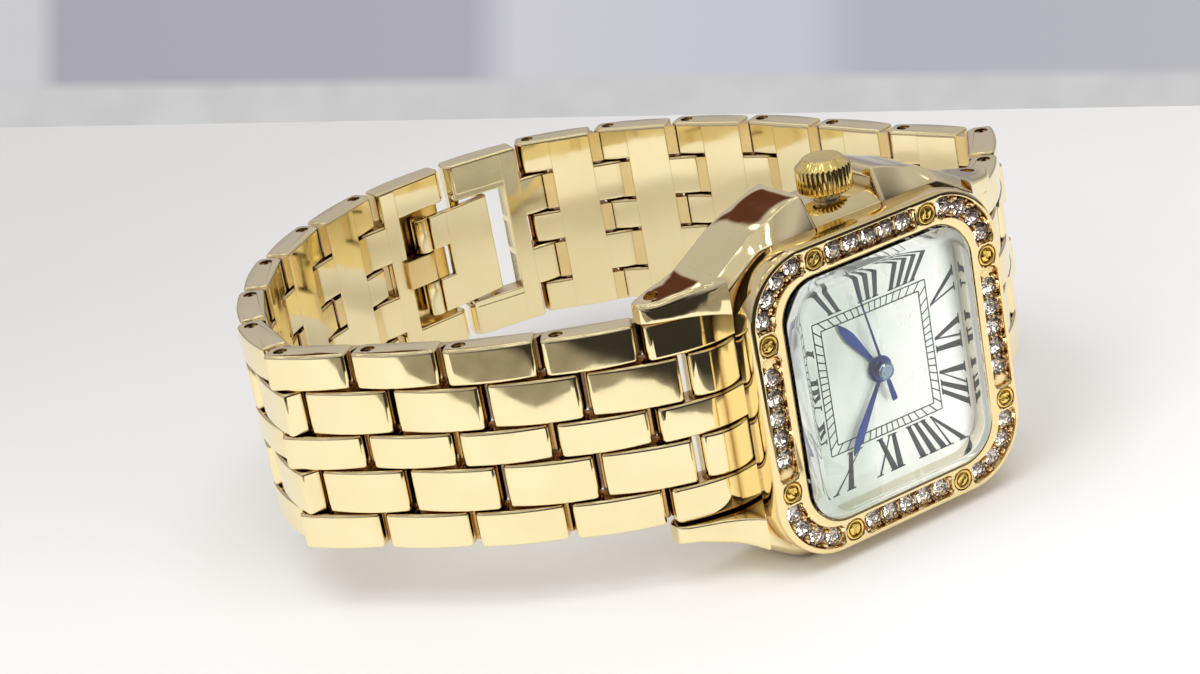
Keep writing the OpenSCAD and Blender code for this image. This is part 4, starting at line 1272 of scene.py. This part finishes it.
# Wall behind the table: a pale ledge, and soft lavender panels above it. It faces the camera, and its own
# unit is a pixel of the frame, from the frame's middle.
WALL_AT = 1.3
WALL_HALF_W, WALL_LOW, WALL_HIGH = 900, -200, 700
LEDGE_FROM, LEDGE_TO, LEDGE_SLOPE = 252, 264, -0.0125
wall_mat, tree, shader = new_material("wall_soft")
on_wall = axes(tree)
panels = ramp(tree, to_range(tree, on_wall["X"], 0, 1, -FRAME_W / 2, FRAME_W / 2), [
    (0.0, (0.60, 0.60, 0.62)), (0.030, (0.60, 0.60, 0.62)), (0.050, (0.40, 0.39, 0.44)),
    (0.39, (0.42, 0.41, 0.47)), (0.43, (0.60, 0.60, 0.64)), (0.67, (0.56, 0.56, 0.62)),
    (0.72, (0.46, 0.46, 0.51)), (1.0, (0.48, 0.48, 0.52))])
level = combine(tree, "ADD", on_wall["Y"], combine(tree, "MULTIPLY", on_wall["X"], LEDGE_SLOPE))
above_ledge = to_range(tree, level, 0.0, 1.0, LEDGE_FROM, LEDGE_TO)
ledge = mottled(tree, 0.02, (0.57, 0.57, 0.575), (0.62, 0.62, 0.625), 1.0)
fill(tree, shader, {
    "Base Color": (0, 0, 0, 1), "Roughness": 1.0, "Specular IOR Level": 0.0, "Emission Strength": 1.0,
    "Emission Color": mixed(tree, above_ledge, ledge, panels)})
wall = stage_plane("wall", [(-WALL_HALF_W, WALL_LOW, 0), (WALL_HALF_W, WALL_LOW, 0),
                            (WALL_HALF_W, WALL_HIGH, 0), (-WALL_HALF_W, WALL_HIGH, 0)], wall_mat)
wall.matrix_world = as_camera(Vector(CAMERA_AT) + ahead * WALL_AT, WALL_AT / FOCAL)
hide_from(wall, "glossy", "diffuse", "transmission", "shadow")

# World: what the polished metal mirrors, by direction
world = bpy.data.worlds.new("world")
world.use_nodes = True
bpy.context.scene.world = world
tree = world.node_tree
ray = axes(tree, "Generated")
room = ramp(tree, to_range(tree, ray["Z"], 0, 1, -0.2, 1.0), [
    (0.0, (0.62, 0.62, 0.62)), (0.17, (0.30, 0.29, 0.34)), (0.42, (0.48, 0.46, 0.51)),
    (0.52, (0.54, 0.52, 0.56)), (0.70, (0.53, 0.51, 0.52)), (0.80, (0.42, 0.40, 0.37)),
    (0.95, (0.62, 0.60, 0.57))])
# something brown high up behind the watch
in_patch = to_range(tree, ray["Z"], 0, 1, 0.47, 0.50)
PATCH_SIDES = (("Z", 1, 0, 0.60, 0.63), ("X", 0, 1, 0.08, 0.12), ("X", 1, 0, 0.33, 0.37),
               ("Y", 0, 1, 0.2, 0.4))
for axis, low, high, start, end in PATCH_SIDES:
    in_patch = combine(tree, "MULTIPLY", in_patch, to_range(tree, ray[axis], low, high, start, end))
room = mixed(tree, in_patch, room, (0.10, 0.035, 0.025, 1))
# small ceiling lights
cells = add(tree, "TexVoronoi", {"Vector": add(tree, "TexCoord").outputs["Generated"], "Scale": 5.0})
dots = to_range(tree, cells.outputs["Distance"], 1, 0, 0.20, 0.26)
overhead = to_range(tree, ray["Z"], 0, 1, 0.60, 0.66)
room = mixed(tree, combine(tree, "MULTIPLY", dots, overhead), room, (2.4, 2.35, 2.2, 1))
# the room in front of the dial is dark, and lightens from a height of 0.35 to 0.55
beside = to_range(tree, ray["Y"], 0.0, 1.0, -0.75, -0.25)
above = to_range(tree, ray["Z"], 0.0, 1.0, 0.35, 0.55)
room = mixed(tree, combine(tree, "MAXIMUM", beside, above), (0.030, 0.026, 0.022, 1), room)
to_camera = add(tree, "LightPath").outputs["Is Camera Ray"]
fill(tree, tree.nodes["Background"], {
    "Color": mixed(tree, to_camera, room, (0.46, 0.45, 0.51, 1)), "Strength": 1.0})

scene = bpy.context.scene
scene.view_settings.view_transform = "Standard"
